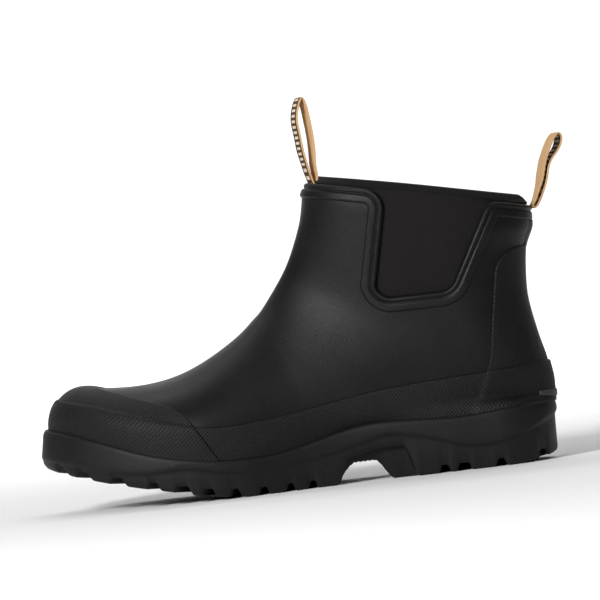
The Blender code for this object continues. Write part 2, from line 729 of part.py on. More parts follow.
def loft_sole(levels):
    """A closed body through levels given from one face over the side to the other face."""
    mesh = bmesh.new()
    rings = [sole_ring(*level) for level in levels]
    outer = [[mesh.verts.new(point) for point in pair[0]] for pair in rings]
    inner = [[mesh.verts.new(point) for point in pair[1]] for pair in rings]
    around = outer + inner[::-1]
    for k in range(len(around)):
        here, there = around[k], around[(k + 1) % len(around)]
        for i in range(SOLE_STATIONS):
            mesh.faces.new((here[i], here[i + 1], there[i + 1], there[i]))
    bmesh.ops.remove_doubles(mesh, verts=mesh.verts, dist=MERGE)
    bmesh.ops.dissolve_degenerate(mesh, dist=MERGE, edges=mesh.edges)
    bmesh.ops.recalc_face_normals(mesh, faces=mesh.faces)
    return mesh


# Stations of the tread's side grooves as shares of LENGTH.
HEEL_GROOVES = (0.124, 0.184, 0.231)
FOREFOOT_GROOVES = (0.485, 0.528, 0.579, 0.632, 0.682, 0.729, 0.786, 0.849, 0.906)
# Arch in side view: station as a share of LENGTH, height as a share of SOLE_HEIGHT.
OUTER_ARCH = ((0.325, -0.1), (0.325, 0.05), (0.345, 0.19), (0.357, 0.37), (0.40, 0.36),
              (0.420, 0.29), (0.430, 0.14), (0.434, 0.05), (0.434, -0.1))
INNER_ARCH = ((0.285, -0.1), (0.285, 0.05), (0.295, 0.22), (0.310, 0.36), (0.38, 0.42),
              (0.430, 0.34), (0.460, 0.16), (0.475, 0.05), (0.475, -0.1))
ARCH_SIDE = ((0.290, -0.1), (0.293, 0.35), (0.305, 0.47), (0.33, 0.53), (0.36, 0.53), (0.40, 0.46),
             (0.425, 0.35), (0.434, 0.1), (0.434, -0.1))
SHANK_WIDTH = 0.42 * BALL_WIDTH


def arch_outline(points):
    return [(s * LENGTH, z * SOLE_HEIGHT) for s, z in points]


def groove(name, station, side):
    """A hidden slot across one side of the tread, slanting towards the toe."""
    depth = float(tread(station)) + LUG_DEPTH
    half = GROOVE_WIDTH / 2
    inner_y = side * SPINE_WIDTH / 2
    outer_y = side * 0.7 * BALL_WIDTH
    slant = math.tan(GROOVE_ANGLE) * abs(outer_y - inner_y)
    near = [(station - half, -LUG_DEPTH), (station - half, depth),
            (station + half, depth), (station + half, -LUG_DEPTH)]
    far = [(s + slant, z) for s, z in near]
    mid = float(centre(station))
    return prism(name, near, inner_y + mid, outer_y + mid, far)


def make_outsole():
    lip = SOLE_MARGIN + WALL + FLOOR_INSET
    toe_lip = TOE_SET + WALL + FLOOR_INSET
    heel_lip = HEEL_SET + WALL + FLOOR_INSET
    low = TREAD_INSET
    step = WAVE_STEP
    under = low + TREAD_CHAMFER
    draft = FLOOR_DRAFT
    side_top = 0.2 * TOP_ROUND
    levels = (
        (under, under, under, tread),
        (low, low, low, lambda s: tread(s) + TREAD_RISE),
        (step, step, 0.4 * step, lambda s: np.maximum(wave(s) - STEP_RISE, tread(s) + 1.5 * TREAD_RISE)),
        (0.0, 0.0, 0.0, lambda s: np.maximum(wave(s) + STEP_RISE, tread(s) + 2.5 * TREAD_RISE)),
        (side_top, side_top, TOE_LEAN, lambda s: feather(s) - TOP_ROUND),
        (TOP_INSET, TOP_INSET - 2 * side_top, TOE_LEAN + TOP_INSET, feather),
        (lip, heel_lip, toe_lip, feather),
        (lip + draft, heel_lip + draft, toe_lip + draft, sole_floor),
    )
    item = link("outsole", loft_sole(levels), (0.021, 0.022, 0.024), 0.6)
    wide = BALL_WIDTH
    arch = prism("arch_cutter", arch_outline(OUTER_ARCH), -0.5 * wide, 0.5 * wide, arch_outline(INNER_ARCH))
    boolean(item, arch, "DIFFERENCE")
    side = arch_outline(ARCH_SIDE)
    boolean(item, prism("outer_arch_cutter", side, -wide, -SHANK_WIDTH / 2), "DIFFERENCE")
    boolean(item, prism("inner_arch_cutter", side, SHANK_WIDTH / 2, wide), "DIFFERENCE")
    for k, share in enumerate(HEEL_GROOVES + FOREFOOT_GROOVES):
        boolean(item, groove(f"outer_groove_{k}", share * LENGTH, -1), "DIFFERENCE", "MANIFOLD")
        boolean(item, groove(f"inner_groove_{k}", share * LENGTH, 1), "DIFFERENCE", "MANIFOLD")
    return item


def make_insole():
    edge = SOLE_MARGIN + WALL + FLOOR_INSET + FLOOR_DRAFT + 2 * GAP
    shift = edge - SOLE_MARGIN
    levels = (
        (edge, HEEL_SET + shift, TOE_SET + shift, lambda s: sole_floor(s) + GAP),
        (edge, HEEL_SET + shift, TOE_SET + shift, lambda s: sole_floor(s) + GAP + INSOLE_THICK),
    )
    return link("insole", loft_sole(levels), (0.05, 0.05, 0.055), 0.9)


# Middle line of each tape loop in side view, from its root: shares of the loop's height outwards
# from the boot and upwards.
FRONT_LOOP = ((0.040, -0.005), (0.076, 0.080), (0.100, 0.190), (0.132, 0.355), (0.148, 0.530),
              (0.164, 0.710), (0.136, 0.860), (0.075, 0.975), (0.032, 0.890), (0.010, 0.730),
              (-0.007, 0.550), (-0.012, 0.370), (-0.003, 0.200), (0.000, 0.070))
BACK_LOOP = ((0.045, 0.015), (0.088, 0.075), (0.138, 0.170), (0.197, 0.306), (0.244, 0.457), (0.287, 0.590),
             (0.345, 0.714), (0.405, 0.825), (0.473, 0.925), (0.545, 0.975), (0.585, 0.915), (0.556, 0.805),
             (0.488, 0.709), (0.405, 0.622), (0.345, 0.538), (0.306, 0.440), (0.262, 0.286), (0.206, 0.150),
             (0.140, 0.045), (0.085, -0.008))
# Height, as a share of the loop's own, over which its tape turns
TURN_SHARE = 0.35
LOOP_STEPS = 36


def closed_curve(points, count):
    """Points on a closed Catmull-Rom curve."""
    points = np.array(points)
    total = len(points)
    result = []
    for i in range(count):
        place = i * total / count
        k = int(place)
        t = place - k
        a, b, c, d = (points[(k + n) % total] for n in (-1, 0, 1, 2))
        result.append(0.5 * (2 * b + (c - a) * t + (2 * a - 5 * b + 4 * c - d) * t ** 2
                             + (3 * b - a - 3 * c + d) * t ** 3))
    return np.array(result)


def collar_seat(across, front):
    """A place on the rubber's top edge, with the outward direction there in plan."""
    places, normals, _ = offset_rings([EDGE_ROW, TOP_ROW])[EDGE_ROW]
    on_side = (places[:, 0] < places[:, 0].mean()) == front
    order = np.argsort(places[on_side][:, 1])
    ys = places[on_side][order, 1]
    place = [np.interp(across, ys, places[on_side][order, k]) for k in range(3)]
    out = np.array([np.interp(across, ys, normals[on_side][order, k]) for k in range(2)])
    return np.array(place), out / np.linalg.norm(out)


def make_loop(name, shares, height, across, front, turn):
    """A ring of tape standing on the collar's edge outside the binding, its upper part turned."""
    place, out = collar_seat(across, front)
    clear = BINDING_GAP + BINDING_THICK - WALL + GAP + TAPE_THICK / 2
    path = closed_curve([(a * height, b * height) for a, b in shares], LOOP_STEPS)
    heading = math.atan2(out[1], out[0]) + turn * np.clip(path[:, 1] / (TURN_SHARE * height), 0.0, 1.0)
    ahead = np.roll(path, -1, axis=0) - np.roll(path, 1, axis=0)
    ahead /= np.linalg.norm(ahead, axis=1, keepdims=True)
    sideways = np.stack((-ahead[:, 1], ahead[:, 0]), axis=1)
    mesh = bmesh.new()
    loops = []
    for offset, side in ((0.5, -1), (0.5, 1), (-0.5, 1), (-0.5, -1)):
        verts = []
        for point, away, angle in zip(path, sideways, heading):
            outward, up = point + away * TAPE_THICK * offset
            facing = np.array((math.cos(angle), math.sin(angle)))
            along_tape = np.array((-facing[1], facing[0]))
            spot = place[:2] + facing * (outward + clear) + along_tape * side * TAPE_WIDTH / 2
            verts.append(mesh.verts.new((spot[0], spot[1], place[2] + up + TAPE_THICK + GAP)))
        loops.append(verts)
    count = len(path)
    for k in range(4):
        here, there = loops[k], loops[(k + 1) % 4]
        for j in range(count):
            after = (j + 1) % count
            mesh.faces.new((here[j], here[after], there[after], there[j]))
    bmesh.ops.recalc_face_normals(mesh, faces=mesh.faces)
    return link(name, mesh, (0.38, 0.24, 0.13), 0.85)


def main():
    for item in list(bpy.data.objects):
        bpy.data.objects.remove(item, do_unlink=True)
    opening = opening_cutter("opening_cutter", 0.0)
    band = opening_cutter("band_cutter", BAND_WIDTH)
    cap_front = cap_cutter("cap_cutter", 0.0)
    cap_clear = cap_cutter("cap_clear_cutter", CAP_GAP)
    below_rand = prism("rand_cutter", band_outline(rand_top), -BALL_WIDTH, BALL_WIDTH)
    make_outsole()
    make_insole()
    make_upper(opening)
    make_sleeve()
    make_binding()
    make_edge_band(opening, band)
    make_toe_cap(cap_front)
    make_rand(cap_clear, below_rand)
    make_counter(below_rand)
    make_heel_bar()
    make_back_tab()
    make_loop("pull_loop_front", FRONT_LOOP, FRONT_LOOP_HEIGHT, FRONT_LOOP_ACROSS, True, FRONT_LOOP_TURN)
    make_loop("pull_loop_back", BACK_LOOP, BACK_LOOP_HEIGHT, BACK_LOOP_ACROSS, False, BACK_LOOP_TURN)


main()
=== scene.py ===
"""Looks of the short rubber boot: fine surfaces, materials, floor, light and camera."""
import math

import bmesh
import bpy
import numpy as np
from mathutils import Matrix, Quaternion, Vector


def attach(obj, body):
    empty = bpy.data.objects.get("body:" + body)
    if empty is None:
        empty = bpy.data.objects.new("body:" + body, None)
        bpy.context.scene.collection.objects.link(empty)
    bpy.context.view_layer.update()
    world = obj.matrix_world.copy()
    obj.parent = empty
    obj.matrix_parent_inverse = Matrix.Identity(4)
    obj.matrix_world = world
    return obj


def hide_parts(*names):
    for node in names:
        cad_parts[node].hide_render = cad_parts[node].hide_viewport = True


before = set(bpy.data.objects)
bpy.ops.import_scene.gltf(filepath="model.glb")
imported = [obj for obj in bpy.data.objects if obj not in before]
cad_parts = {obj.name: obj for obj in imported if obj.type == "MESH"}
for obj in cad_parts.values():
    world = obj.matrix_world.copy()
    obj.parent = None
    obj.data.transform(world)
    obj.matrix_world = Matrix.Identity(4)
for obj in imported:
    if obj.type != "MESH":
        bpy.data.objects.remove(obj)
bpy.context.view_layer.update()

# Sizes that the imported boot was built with, in metres
LENGTH = 0.2994
BALL_WIDTH = 0.108
HEEL_WIDTH = 0.077
COLLAR_WIDTH = 0.084
SOLE_HEIGHT = 0.034
TOE_HEIGHT = 0.071
INSTEP_HEIGHT = 0.104
COLLAR_HEIGHT = 0.177
BACK_HEIGHT = 0.153
WALL = 0.0022
RAND_HEIGHT = 0.020
BAND_WIDTH = 0.009
SLEEVE_THICK = 0.0030
TAPE_WIDTH = 0.0115
TAPE_THICK = 0.0013
SOLE_MARGIN = 0.0038
TOE_SET = 0.0083
HEEL_SET = 0.0018
HEEL_BAR_HEIGHT = 0.0048
HEEL_BAR_REACH = 0.0115
TAB_WIDTH = 0.011
FRONT_LOOP_HEIGHT = 0.0485
BACK_LOOP_HEIGHT = 0.0385
FRONT_LOOP_ACROSS = -0.012
BACK_LOOP_ACROSS = 0.003
FRONT_LOOP_TURN = math.radians(3)
BACK_LOOP_TURN = math.radians(15)
ORIGIN_STATION = 0.041

# Heights of the visual overlays above the rubber's surface
RAND_RISE = 0.0014
CAP_RISE = 0.0016
COUNTER_RISE = 0.0011
BAR_RISE = 0.0030
TAB_RISE = 0.0013

# Lines along the side of the sole: station as a share of LENGTH, then shares of SOLE_HEIGHT and,
# last, of RAND_HEIGHT above the feather line.
#   station  wave  feather  floor   rand
SIDE_LINES = (
    (0.000, 0.79, 1.000, 0.76, 1.13),
    (0.050, 0.59, 1.000, 0.76, 1.11),
    (0.120, 0.41, 0.962, 0.76, 1.12),
    (0.185, 0.42, 0.924, 0.76, 1.14),
    (0.250, 0.61, 0.947, 0.75, 1.06),
    (0.300, 0.71, 0.974, 0.74, 0.97),
    (0.340, 0.74, 0.982, 0.73, 0.91),
    (0.385, 0.65, 0.956, 0.70, 0.87),
    (0.450, 0.53, 0.841, 0.62, 0.92),
    (0.520, 0.45, 0.700, 0.49, 1.01),
    (0.585, 0.41, 0.647, 0.43, 1.01),
    (0.650, 0.45, 0.671, 0.43, 0.94),
    (0.720, 0.58, 0.759, 0.47, 0.96),
    (0.790, 0.57, 0.906, 0.60, 1.01),
    (0.850, 0.64, 1.094, 0.75, 0.99),
    (0.920, 0.79, 1.309, 0.94, 0.93),
    (1.000, 0.97, 1.500, 1.18, 0.85),
)
# Edge of the tread: station as a share of LENGTH and height as a share of SOLE_HEIGHT
TREAD_LINE = (
    (0.000, 0.19), (0.018, 0.10), (0.060, 0.03), (0.090, 0.00), (0.590, 0.00), (0.635, 0.035),
    (0.685, 0.09), (0.752, 0.23), (0.819, 0.365), (0.892, 0.53), (0.953, 0.69), (1.000, 0.83),
)
# Outline from above: station as a share of LENGTH, centre and half width as shares of BALL_WIDTH
PLAN = (
    (0.00, 0.000, 0.356), (0.15, 0.000, 0.356), (0.30, -0.014, 0.343), (0.42, -0.032, 0.326),
    (0.50, -0.037, 0.366), (0.60, -0.035, 0.458), (0.68, -0.028, 0.498), (0.75, -0.014, 0.502),
    (0.82, 0.009, 0.486), (0.90, 0.042, 0.463), (1.00, 0.083, 0.445),
)
HEEL_ROUND = 0.120 * LENGTH
TOE_ROUND = 0.225 * LENGTH
NOSE_ROUND = 0.073 * LENGTH
TOE_FULLNESS = 2.2

# Sections of the upper, toe to collar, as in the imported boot. Stations are shares of LENGTH, low_z
# of BACK_HEIGHT and ridge of BALL_WIDTH; the other shares' sizes are in SECTION_SCALES.
#  low_s  low_z  high_s high_z half   widest full  back  ridge
SECTIONS = (
    (0.972, 0.000, 0.972, 1.000, 0.410, 0.34, 2.30, 1.00, 0.000),
    (0.908, 0.000, 0.908, 1.000, 0.430, 0.34, 2.30, 1.00, 0.015),
    (0.835, 0.000, 0.832, 0.973, 0.458, 0.32, 2.25, 1.00, 0.035),
    (0.762, 0.000, 0.755, 0.986, 0.477, 0.30, 2.20, 1.00, 0.050),
    (0.688, 0.000, 0.678, 0.738, 0.477, 0.28, 2.10, 1.00, 0.055),
    (0.608, 0.000, 0.601, 0.862, 0.437, 0.26, 2.00, 1.00, 0.055),
    (0.521, 0.000, 0.565, 0.947, 0.385, 0.25, 2.00, 1.00, 0.045),
    (0.418, 0.000, 0.544, 1.000, 0.340, 0.26, 2.00, 1.00, 0.035),
    (0.300, 0.000, 0.528, 0.623, 0.460, 0.30, 2.00, 1.00, 0.025),
    (0.184, 0.000, 0.515, 0.651, 0.460, 0.34, 2.00, 1.00, 0.020),
    (0.084, 0.000, 0.504, 0.678, 0.460, 0.38, 2.00, 1.00, 0.015),
    (0.006, 0.222, 0.494, 0.700, 0.460, 0.42, 2.00, 1.00, 0.010),
    (0.005, 0.294, 0.484, 0.729, 0.467, 0.45, 2.00, 1.00, 0.005),
    (0.010, 0.375, 0.474, 0.762, 0.474, 0.47, 2.05, 0.46, 0.0),
    (0.025, 0.503, 0.462, 0.811, 0.446, 0.50, 2.10, 0.50, 0.0),
    (0.034, 0.641, 0.452, 0.860, 0.464, 0.50, 2.15, 0.57, 0.0),
    (0.027, 0.797, 0.444, 0.918, 0.488, 0.50, 2.20, 0.64, 0.0),
    (0.009, 0.889, 0.440, 0.952, 0.500, 0.50, 2.20, 0.69, 0.0),
    (0.007, 0.958, 0.426, 0.983, 0.494, 0.50, 2.20, 0.71, 0.0),
    (0.014, 0.987, 0.410, 1.003, 0.480, 0.50, 2.20, 0.71, 0.0),
)
# Column, the sizes that its shares are of, and for how many rows each
SECTION_SCALES = (
    (3, (TOE_HEIGHT, INSTEP_HEIGHT, COLLAR_HEIGHT), (4, 4, 12)),
    (4, (BALL_WIDTH, HEEL_WIDTH, COLLAR_WIDTH), (8, 6, 6)),
    (7, (HEEL_ROUND, COLLAR_WIDTH), (13, 7)),
)
HEEL_ROW = 11
EDGE_ROW = 18
TOP_ROW = 19
SLEEVE_ROW = 11.7


def spline(xs, ys):
    """A natural cubic spline as a function."""
    count = len(xs)
    steps = np.diff(xs)
    matrix = np.eye(count)
    right = np.zeros(count)
    for i in range(1, count - 1):
        matrix[i, i - 1:i + 2] = (steps[i - 1], 2 * (steps[i - 1] + steps[i]), steps[i])
        right[i] = 6 * ((ys[i + 1] - ys[i]) / steps[i] - (ys[i] - ys[i - 1]) / steps[i - 1])
    bend = np.linalg.solve(matrix, right)

    def value(x):
        x = np.clip(x, xs[0], xs[-1])
        k = np.clip(np.searchsorted(xs, x) - 1, 0, count - 2)
        h = steps[k]
        a = (xs[k + 1] - x) / h
        b = (x - xs[k]) / h
        cubic = ((a ** 3 - a) * bend[k] + (b ** 3 - b) * bend[k + 1]) * h ** 2 / 6
        return a * ys[k] + b * ys[k + 1] + cubic

    return value


def monotone(xs, ys):
    """A curve that never overshoots its points, as a function."""
    steps = np.diff(xs)
    slopes = np.diff(ys) / steps
    tangents = np.zeros(len(xs))
    for i in range(1, len(xs) - 1):
        if slopes[i - 1] * slopes[i] > 0:
            tangents[i] = 2 / (1 / slopes[i - 1] + 1 / slopes[i])
    tangents[0] = slopes[0]
    tangents[-1] = slopes[-1]

    def value(x):
        x = np.clip(x, xs[0], xs[-1])
        k = np.clip(np.searchsorted(xs, x) - 1, 0, len(xs) - 2)
        h = steps[k]
        t = (x - xs[k]) / h
        start = (1 + 2 * t) * (1 - t) ** 2 * ys[k] + t * (1 - t) ** 2 * h * tangents[k]
        end = t ** 2 * (3 - 2 * t) * ys[k + 1] + t ** 2 * (t - 1) * h * tangents[k + 1]
        return start + end

    return value


def curves(kind, table):
    """A curve over a table's first column for each of its other columns."""
    columns = np.array(table).T
    return [kind(columns[0], column) for column in columns[1:]]


wave_share, feather_share, floor_share, rand_share = curves(spline, SIDE_LINES)
(tread_share,) = curves(monotone, TREAD_LINE)
centre_share, half_share = curves(spline, PLAN)


def feather(s):
    """Height of the line where the upper meets the sole."""
    return SOLE_HEIGHT * feather_share(s / LENGTH)


def wave(s):
    """Height of the step in the sole's side."""
    return SOLE_HEIGHT * wave_share(s / LENGTH)


def sole_floor(s):
    return SOLE_HEIGHT * floor_share(s / LENGTH)


def tread(s):
    return SOLE_HEIGHT * np.maximum(tread_share(s / LENGTH), 0.0)


def rand_top(s):
    return feather(s) + RAND_HEIGHT * rand_share(s / LENGTH)


def centre(s):
    return BALL_WIDTH * centre_share(s / LENGTH)


def rounding(distance, depth, fullness=2.0):
    """1 inside a rounded end, falling to 0 at the end itself."""
    inside = np.clip(1 - distance / depth, 0.0, 1.0)
    return (1 - inside ** fullness) ** (1 / fullness)


def plan_half(s):
    """Half the outsole's width before its ends are rounded."""
    plan_width = 2 * PLAN[0][2] * BALL_WIDTH
    towards_heel = np.clip(1 - s / (0.45 * LENGTH), 0.0, 1.0)
    return BALL_WIDTH * half_share(s / LENGTH) * (1 + (HEEL_WIDTH / plan_width - 1) * towards_heel)


def outline_side(s, side_inset, heel_inset, toe_inset):
    """Half width of the outline drawn in by the given insets."""
    heel_end = rounding(s - heel_inset, HEEL_ROUND)
    toe_end = rounding(LENGTH - toe_inset - s, TOE_ROUND, TOE_FULLNESS)
    return (plan_half(s) - side_inset) * heel_end * toe_end


def ease(x):
    """Smooth step from 0 to 1."""
    x = np.clip(x, 0.0, 1.0)
    return x * x * (3 - 2 * x)


SECTION_TABLE = np.array(SECTIONS)
for column, sizes, rows in SECTION_SCALES:
    SECTION_TABLE[:, column] *= np.repeat(sizes, rows)
ROW_NUMBERS = np.arange(len(SECTIONS), dtype=float)
low_station = monotone(ROW_NUMBERS, SECTION_TABLE[:, 0] * LENGTH)
low_height = monotone(ROW_NUMBERS, SECTION_TABLE[:, 1] * BACK_HEIGHT)
high_station = spline(ROW_NUMBERS, SECTION_TABLE[:, 2] * LENGTH)
high_height = spline(ROW_NUMBERS, SECTION_TABLE[:, 3])
half_width = spline(ROW_NUMBERS, SECTION_TABLE[:, 4])
widest_share = spline(ROW_NUMBERS, SECTION_TABLE[:, 5])
fullness_of = spline(ROW_NUMBERS, SECTION_TABLE[:, 6])
back_depth = spline(ROW_NUMBERS, SECTION_TABLE[:, 7])
ridge_of = spline(ROW_NUMBERS, SECTION_TABLE[:, 8] * BALL_WIDTH)
BACK_ROWS = np.linspace(HEEL_ROW, TOP_ROW, 161)
BACK_STATIONS = low_station(BACK_ROWS)
BACK_LEVELS = low_height(BACK_ROWS)
UPPER_TOE = LENGTH - TOE_SET


def back_station(z):
    """Station of the upper's back at a height."""
    return np.interp(z, BACK_LEVELS, BACK_STATIONS)


def section_ends(row):
    """Low and high ends of a section, as station and height."""
    low_s = float(low_station(row))
    low_z = max(float(feather(low_s)), float(low_height(row)))
    high_s = float(high_station(row))
    nose = float(rounding(UPPER_TOE - high_s, NOSE_ROUND, TOE_FULLNESS))
    high_z = low_z + (float(high_height(row)) - low_z) * nose
    return (low_s, low_z), (high_s, high_z)


def section_points(row, count, inner_side):
    """Points of one side of a section, evenly spaced from its low to its high end."""
    (low_s, low_z), (high_s, high_z) = section_ends(row)
    widest = float(widest_share(row))
    full = float(fullness_of(row))
    turn = np.linspace(0, math.pi / 2, 160)
    lower = widest * (1 - np.cos(turn))
    upper = widest + (1 - widest) * np.sin(turn[1:])
    along = np.concatenate((lower, upper))
    s = low_s + (high_s - low_s) * along
    z = low_z + (high_z - low_z) * along
    reach = float(half_width(row))
    foot = reach if row >= HEEL_ROW else float(plan_half(low_s)) - SOLE_MARGIN
    below = np.clip(along / widest, 0.0, 1.0)
    above = np.clip((along - widest) / (1 - widest), 0.0, 1.0)
    half = foot + (reach - foot) * (1 - (1 - below) ** 2)
    half = half * (1 - above ** full) ** (1 / full)
    half = half * rounding(s - back_station(z), float(back_depth(row)))
    half = half * rounding(UPPER_TOE - s, TOE_ROUND, TOE_FULLNESS)
    if row >= HEEL_ROW:
        half[0] = 0.0
    lean = float(ridge_of(row)) * above ** 2 * (3 - 2 * above)
    side = 1 if inner_side else -1
    y = centre(s) + lean + side * half
    points = np.stack((ORIGIN_STATION - s, y, z), axis=1)
    spans = np.linalg.norm(np.diff(points, axis=0), axis=1)
    travelled = np.concatenate(((0.0,), np.cumsum(spans)))
    wanted = np.linspace(0, travelled[-1], count + 1)
    columns = [np.interp(wanted, travelled, points[:, k]) for k in range(3)]
    return np.stack(columns, axis=1), wanted


# Fineness of the skin: points up each side of a section, and the section rows
SIDE_POINTS = 84
FINE_ROWS = np.concatenate((
    np.linspace(0, 1, 34, endpoint=False) ** 2,
    np.linspace(1, 10, 150, endpoint=False),
    np.linspace(10, 11, 26, endpoint=False),
    np.linspace(11, TOP_ROW, 140),
))


class Skin:
    """A triangle mesh with values at its points, which interpolate when it is cut."""

    points = property(lambda self: self.values[:, :3])
    normals = property(lambda self: self.values[:, 3:6])
    weave = property(lambda self: self.values[:, 6:8])
    inner = property(lambda self: self.values[:, 8])

    def __init__(self, values, faces):
        self.values = values
        self.faces = faces

    def copy(self):
        return Skin(self.values, self.faces)

    def station(self):
        return ORIGIN_STATION - self.points[:, 0]

    def height(self):
        return self.points[:, 2]

    def cut(self, field, level):
        """Insert points where the field crosses the level."""
        value = field(self) - level
        value = np.where(np.abs(value) < 1e-9, 1e-9, value)
        flags = (value > 0)[self.faces]
        total = flags.sum(axis=1)
        crossing = (total == 1) | (total == 2)
        split = self.faces[crossing]
        if len(split) == 0:
            return
        odd = np.where(total == 1, np.argmax(flags, axis=1), np.argmin(flags, axis=1))[crossing]
        rows = np.arange(len(split))
        a, b, c = (split[rows, (odd + k) % 3] for k in range(3))
        edges = np.concatenate((np.stack((a, b), 1), np.stack((a, c), 1)))
        edges.sort(axis=1)
        unique, where = np.unique(edges, axis=0, return_inverse=True)
        where = where.reshape(-1) + len(self.values)
        near, far = unique.T
        t = (value[near] / (value[near] - value[far]))[:, None]
        self.values = np.concatenate((self.values, self.values[near] * (1 - t) + self.values[far] * t))
        self.values[:, 3:6] /= np.linalg.norm(self.normals, axis=1, keepdims=True)
        ab, ac = where[:len(split)], where[len(split):]
        parts = [np.stack(corners, 1) for corners in ((a, ab, ac), (ab, b, c), (ab, c, ac))]
        self.faces = np.concatenate([self.faces[~crossing]] + parts)

    def keep(self, wanted):
        """Keep the faces on whose corners a value's mean is positive."""
        self.faces = self.faces[wanted[self.faces].mean(axis=1) > 0]
        used = np.unique(self.faces)
        index = np.full(len(self.values), -1)
        index[used] = np.arange(len(used))
        self.values = self.values[used]
        self.faces = index[self.faces]


# Rows between which the skin is evened out, and the share at either end of a row that stays
RELAX_FROM, RELAX_TO = 6.5, 15.0
RELAX_RIM = 0.05
RELAX_PASSES = 900


def relaxed(grid):
    """Even out the bend between the foot and the shaft, along the rows."""
    rows = (ease((FINE_ROWS - RELAX_FROM) / 2.0) * ease((RELAX_TO - FINE_ROWS) / 1.5))[:, None]
    place = np.linspace(0, 1, grid.shape[1])[None, :]
    weight = (rows * ease(place / RELAX_RIM) * ease((1 - place) / RELAX_RIM))[1:-1, :, None]
    for _ in range(RELAX_PASSES):
        middle = (grid[:-2] + grid[2:]) / 2
        grid[1:-1] += 0.5 * weight * (middle - grid[1:-1])
    return grid


# Grid on which the skin's points merge, and the corner beyond which the shaft's front lies
MERGE_STEP = 0.000005
SHAFT_X, SHAFT_Z = -0.08, 0.12
# Weave coordinates count centimetres
WEAVE_SCALE = 100


def base_skin():
    """The upper's outer surface at full fineness."""
    grids, weaves = [], []
    for row in FINE_ROWS:
        outer, far = section_points(row, SIDE_POINTS, False)
        inner, _ = section_points(row, SIDE_POINTS, True)
        grids.append(np.concatenate((outer, inner[-2::-1])))
        climb = np.concatenate((far, far[-2::-1]))
        weaves.append(np.stack((grids[-1][:, 0], climb), axis=1))
    rows, count = len(grids), len(grids[0])
    points = relaxed(np.array(grids)).reshape(-1, 3)
    weave = np.array(weaves).reshape(-1, 2)
    side = np.tile(np.repeat((-1.0, 1.0), (SIDE_POINTS + 1, SIDE_POINTS)), rows)
    i, j = np.meshgrid(np.arange(rows - 1), np.arange(count - 1), indexing="ij")
    a = (i * count + j).ravel()
    quads = np.stack((a, a + 1, a + count + 1, a + count), axis=1)
    faces = np.concatenate((quads[:, [0, 1, 2]], quads[:, [0, 2, 3]]))
    keys = np.round(points / MERGE_STEP).astype(np.int64)
    _, first, index = np.unique(keys, axis=0, return_index=True, return_inverse=True)
    faces = index.reshape(-1)[faces]
    fine = (faces[:, 0] != faces[:, 1]) & (faces[:, 1] != faces[:, 2]) & (faces[:, 0] != faces[:, 2])
    faces = faces[fine]
    points, weave, side = points[first], weave[first], side[first]
    normals = vertex_normals(points, faces)
    # The skin faces outwards where the shaft's front faces the toe
    shaft = (points[:, 2] > SHAFT_Z) & (points[:, 0] < SHAFT_X)
    if normals[shaft, 0].mean() > 0:
        normals = -normals
        faces = faces[:, ::-1]
    return Skin(np.column_stack((points, normals, weave, side)), faces)


def vertex_normals(points, faces):
    """Mean directions of the faces round each point, larger faces counting more."""
    a, b, c = (points[faces[:, k]] for k in range(3))
    cross = np.cross(b - a, c - a)
    normals = np.zeros_like(points)
    for k in range(3):
        np.add.at(normals, faces[:, k], cross)
    size = np.linalg.norm(normals, axis=1, keepdims=True)
    return normals / np.maximum(size, 1e-12)


def make_object(name, points, faces, material, weave):
    """A smooth-shaded mesh object that rides on the boot."""
    data = bpy.data.meshes.new(name)
    data.from_pydata(points.tolist(), [], np.asarray(faces).tolist())
    layer = data.uv_layers.new(name="weave")
    corners = np.empty(len(data.loops), dtype=np.int32)
    data.loops.foreach_get("vertex_index", corners)
    layer.data.foreach_set("uv", (weave[corners] * WEAVE_SCALE).ravel())
    data.shade_smooth()
    data.validate()
    item = bpy.data.objects.new(name, data)
    bpy.context.scene.collection.objects.link(item)
    data.materials.append(material)
    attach(item, "root")
    return item


def stand_for(node):
    """Hide a plain CAD node, in whose place a piece is shown."""
    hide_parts(node)


def path_distance(skin, path):
    """Distance in side view from an open path, positive on its right."""
    points = np.stack((skin.station(), skin.height()), axis=1)
    path = np.array(path)
    best = np.full(len(points), 1e9)
    sign = np.ones(len(points))
    for a, b in zip(path, path[1:]):
        line = b - a
        length = np.dot(line, line)
        if length < 1e-14:
            continue
        t = np.clip(((points - a) @ line) / length, 0.0, 1.0)
        gap = points - a - t[:, None] * line
        distance = np.hypot(gap[:, 0], gap[:, 1])
        right = line[1] * (points[:, 0] - a[0]) - line[0] * (points[:, 1] - a[1])
        closer = distance < best - 1e-9
        best = np.where(closer, distance, best)
        sign = np.where(closer, np.sign(right), sign)
    return best * sign


def right_of(heading):
    return np.array((heading[1], -heading[0]))


def rounded_path(corners, steps=10):
    """An open path through corners with radii."""
    places = [np.array(corner[:2]) for corner in corners]
    headings = [(b - a) / np.linalg.norm(b - a) for a, b in zip(places, places[1:])]
    path = [places[0]]
    for k in range(1, len(places) - 1):
        before, after = headings[k - 1], headings[k]
        bend = before[0] * after[1] - before[1] * after[0]
        angle = math.asin(max(-1.0, min(1.0, bend)))
        radius = corners[k][2]
        start = places[k] - before * radius * math.tan(abs(angle) / 2)
        arm = right_of(before) * math.copysign(radius, angle)
        pivot = start - arm
        for i in range(steps + 1):
            turn = angle * i / steps
            path.append(pivot + np.array((
                arm[0] * math.cos(turn) - arm[1] * math.sin(turn),
                arm[0] * math.sin(turn) + arm[1] * math.cos(turn))))
    path.append(places[-1])
    return path


EDGE_LOW, EDGE_HIGH = section_ends(EDGE_ROW)
EDGE_SLOPE = (EDGE_HIGH[1] - EDGE_LOW[1]) / (EDGE_HIGH[0] - EDGE_LOW[0])


def edge_line(s):
    """Height of the collar's edge at a station."""
    return EDGE_LOW[1] + EDGE_SLOPE * (s - EDGE_LOW[0])


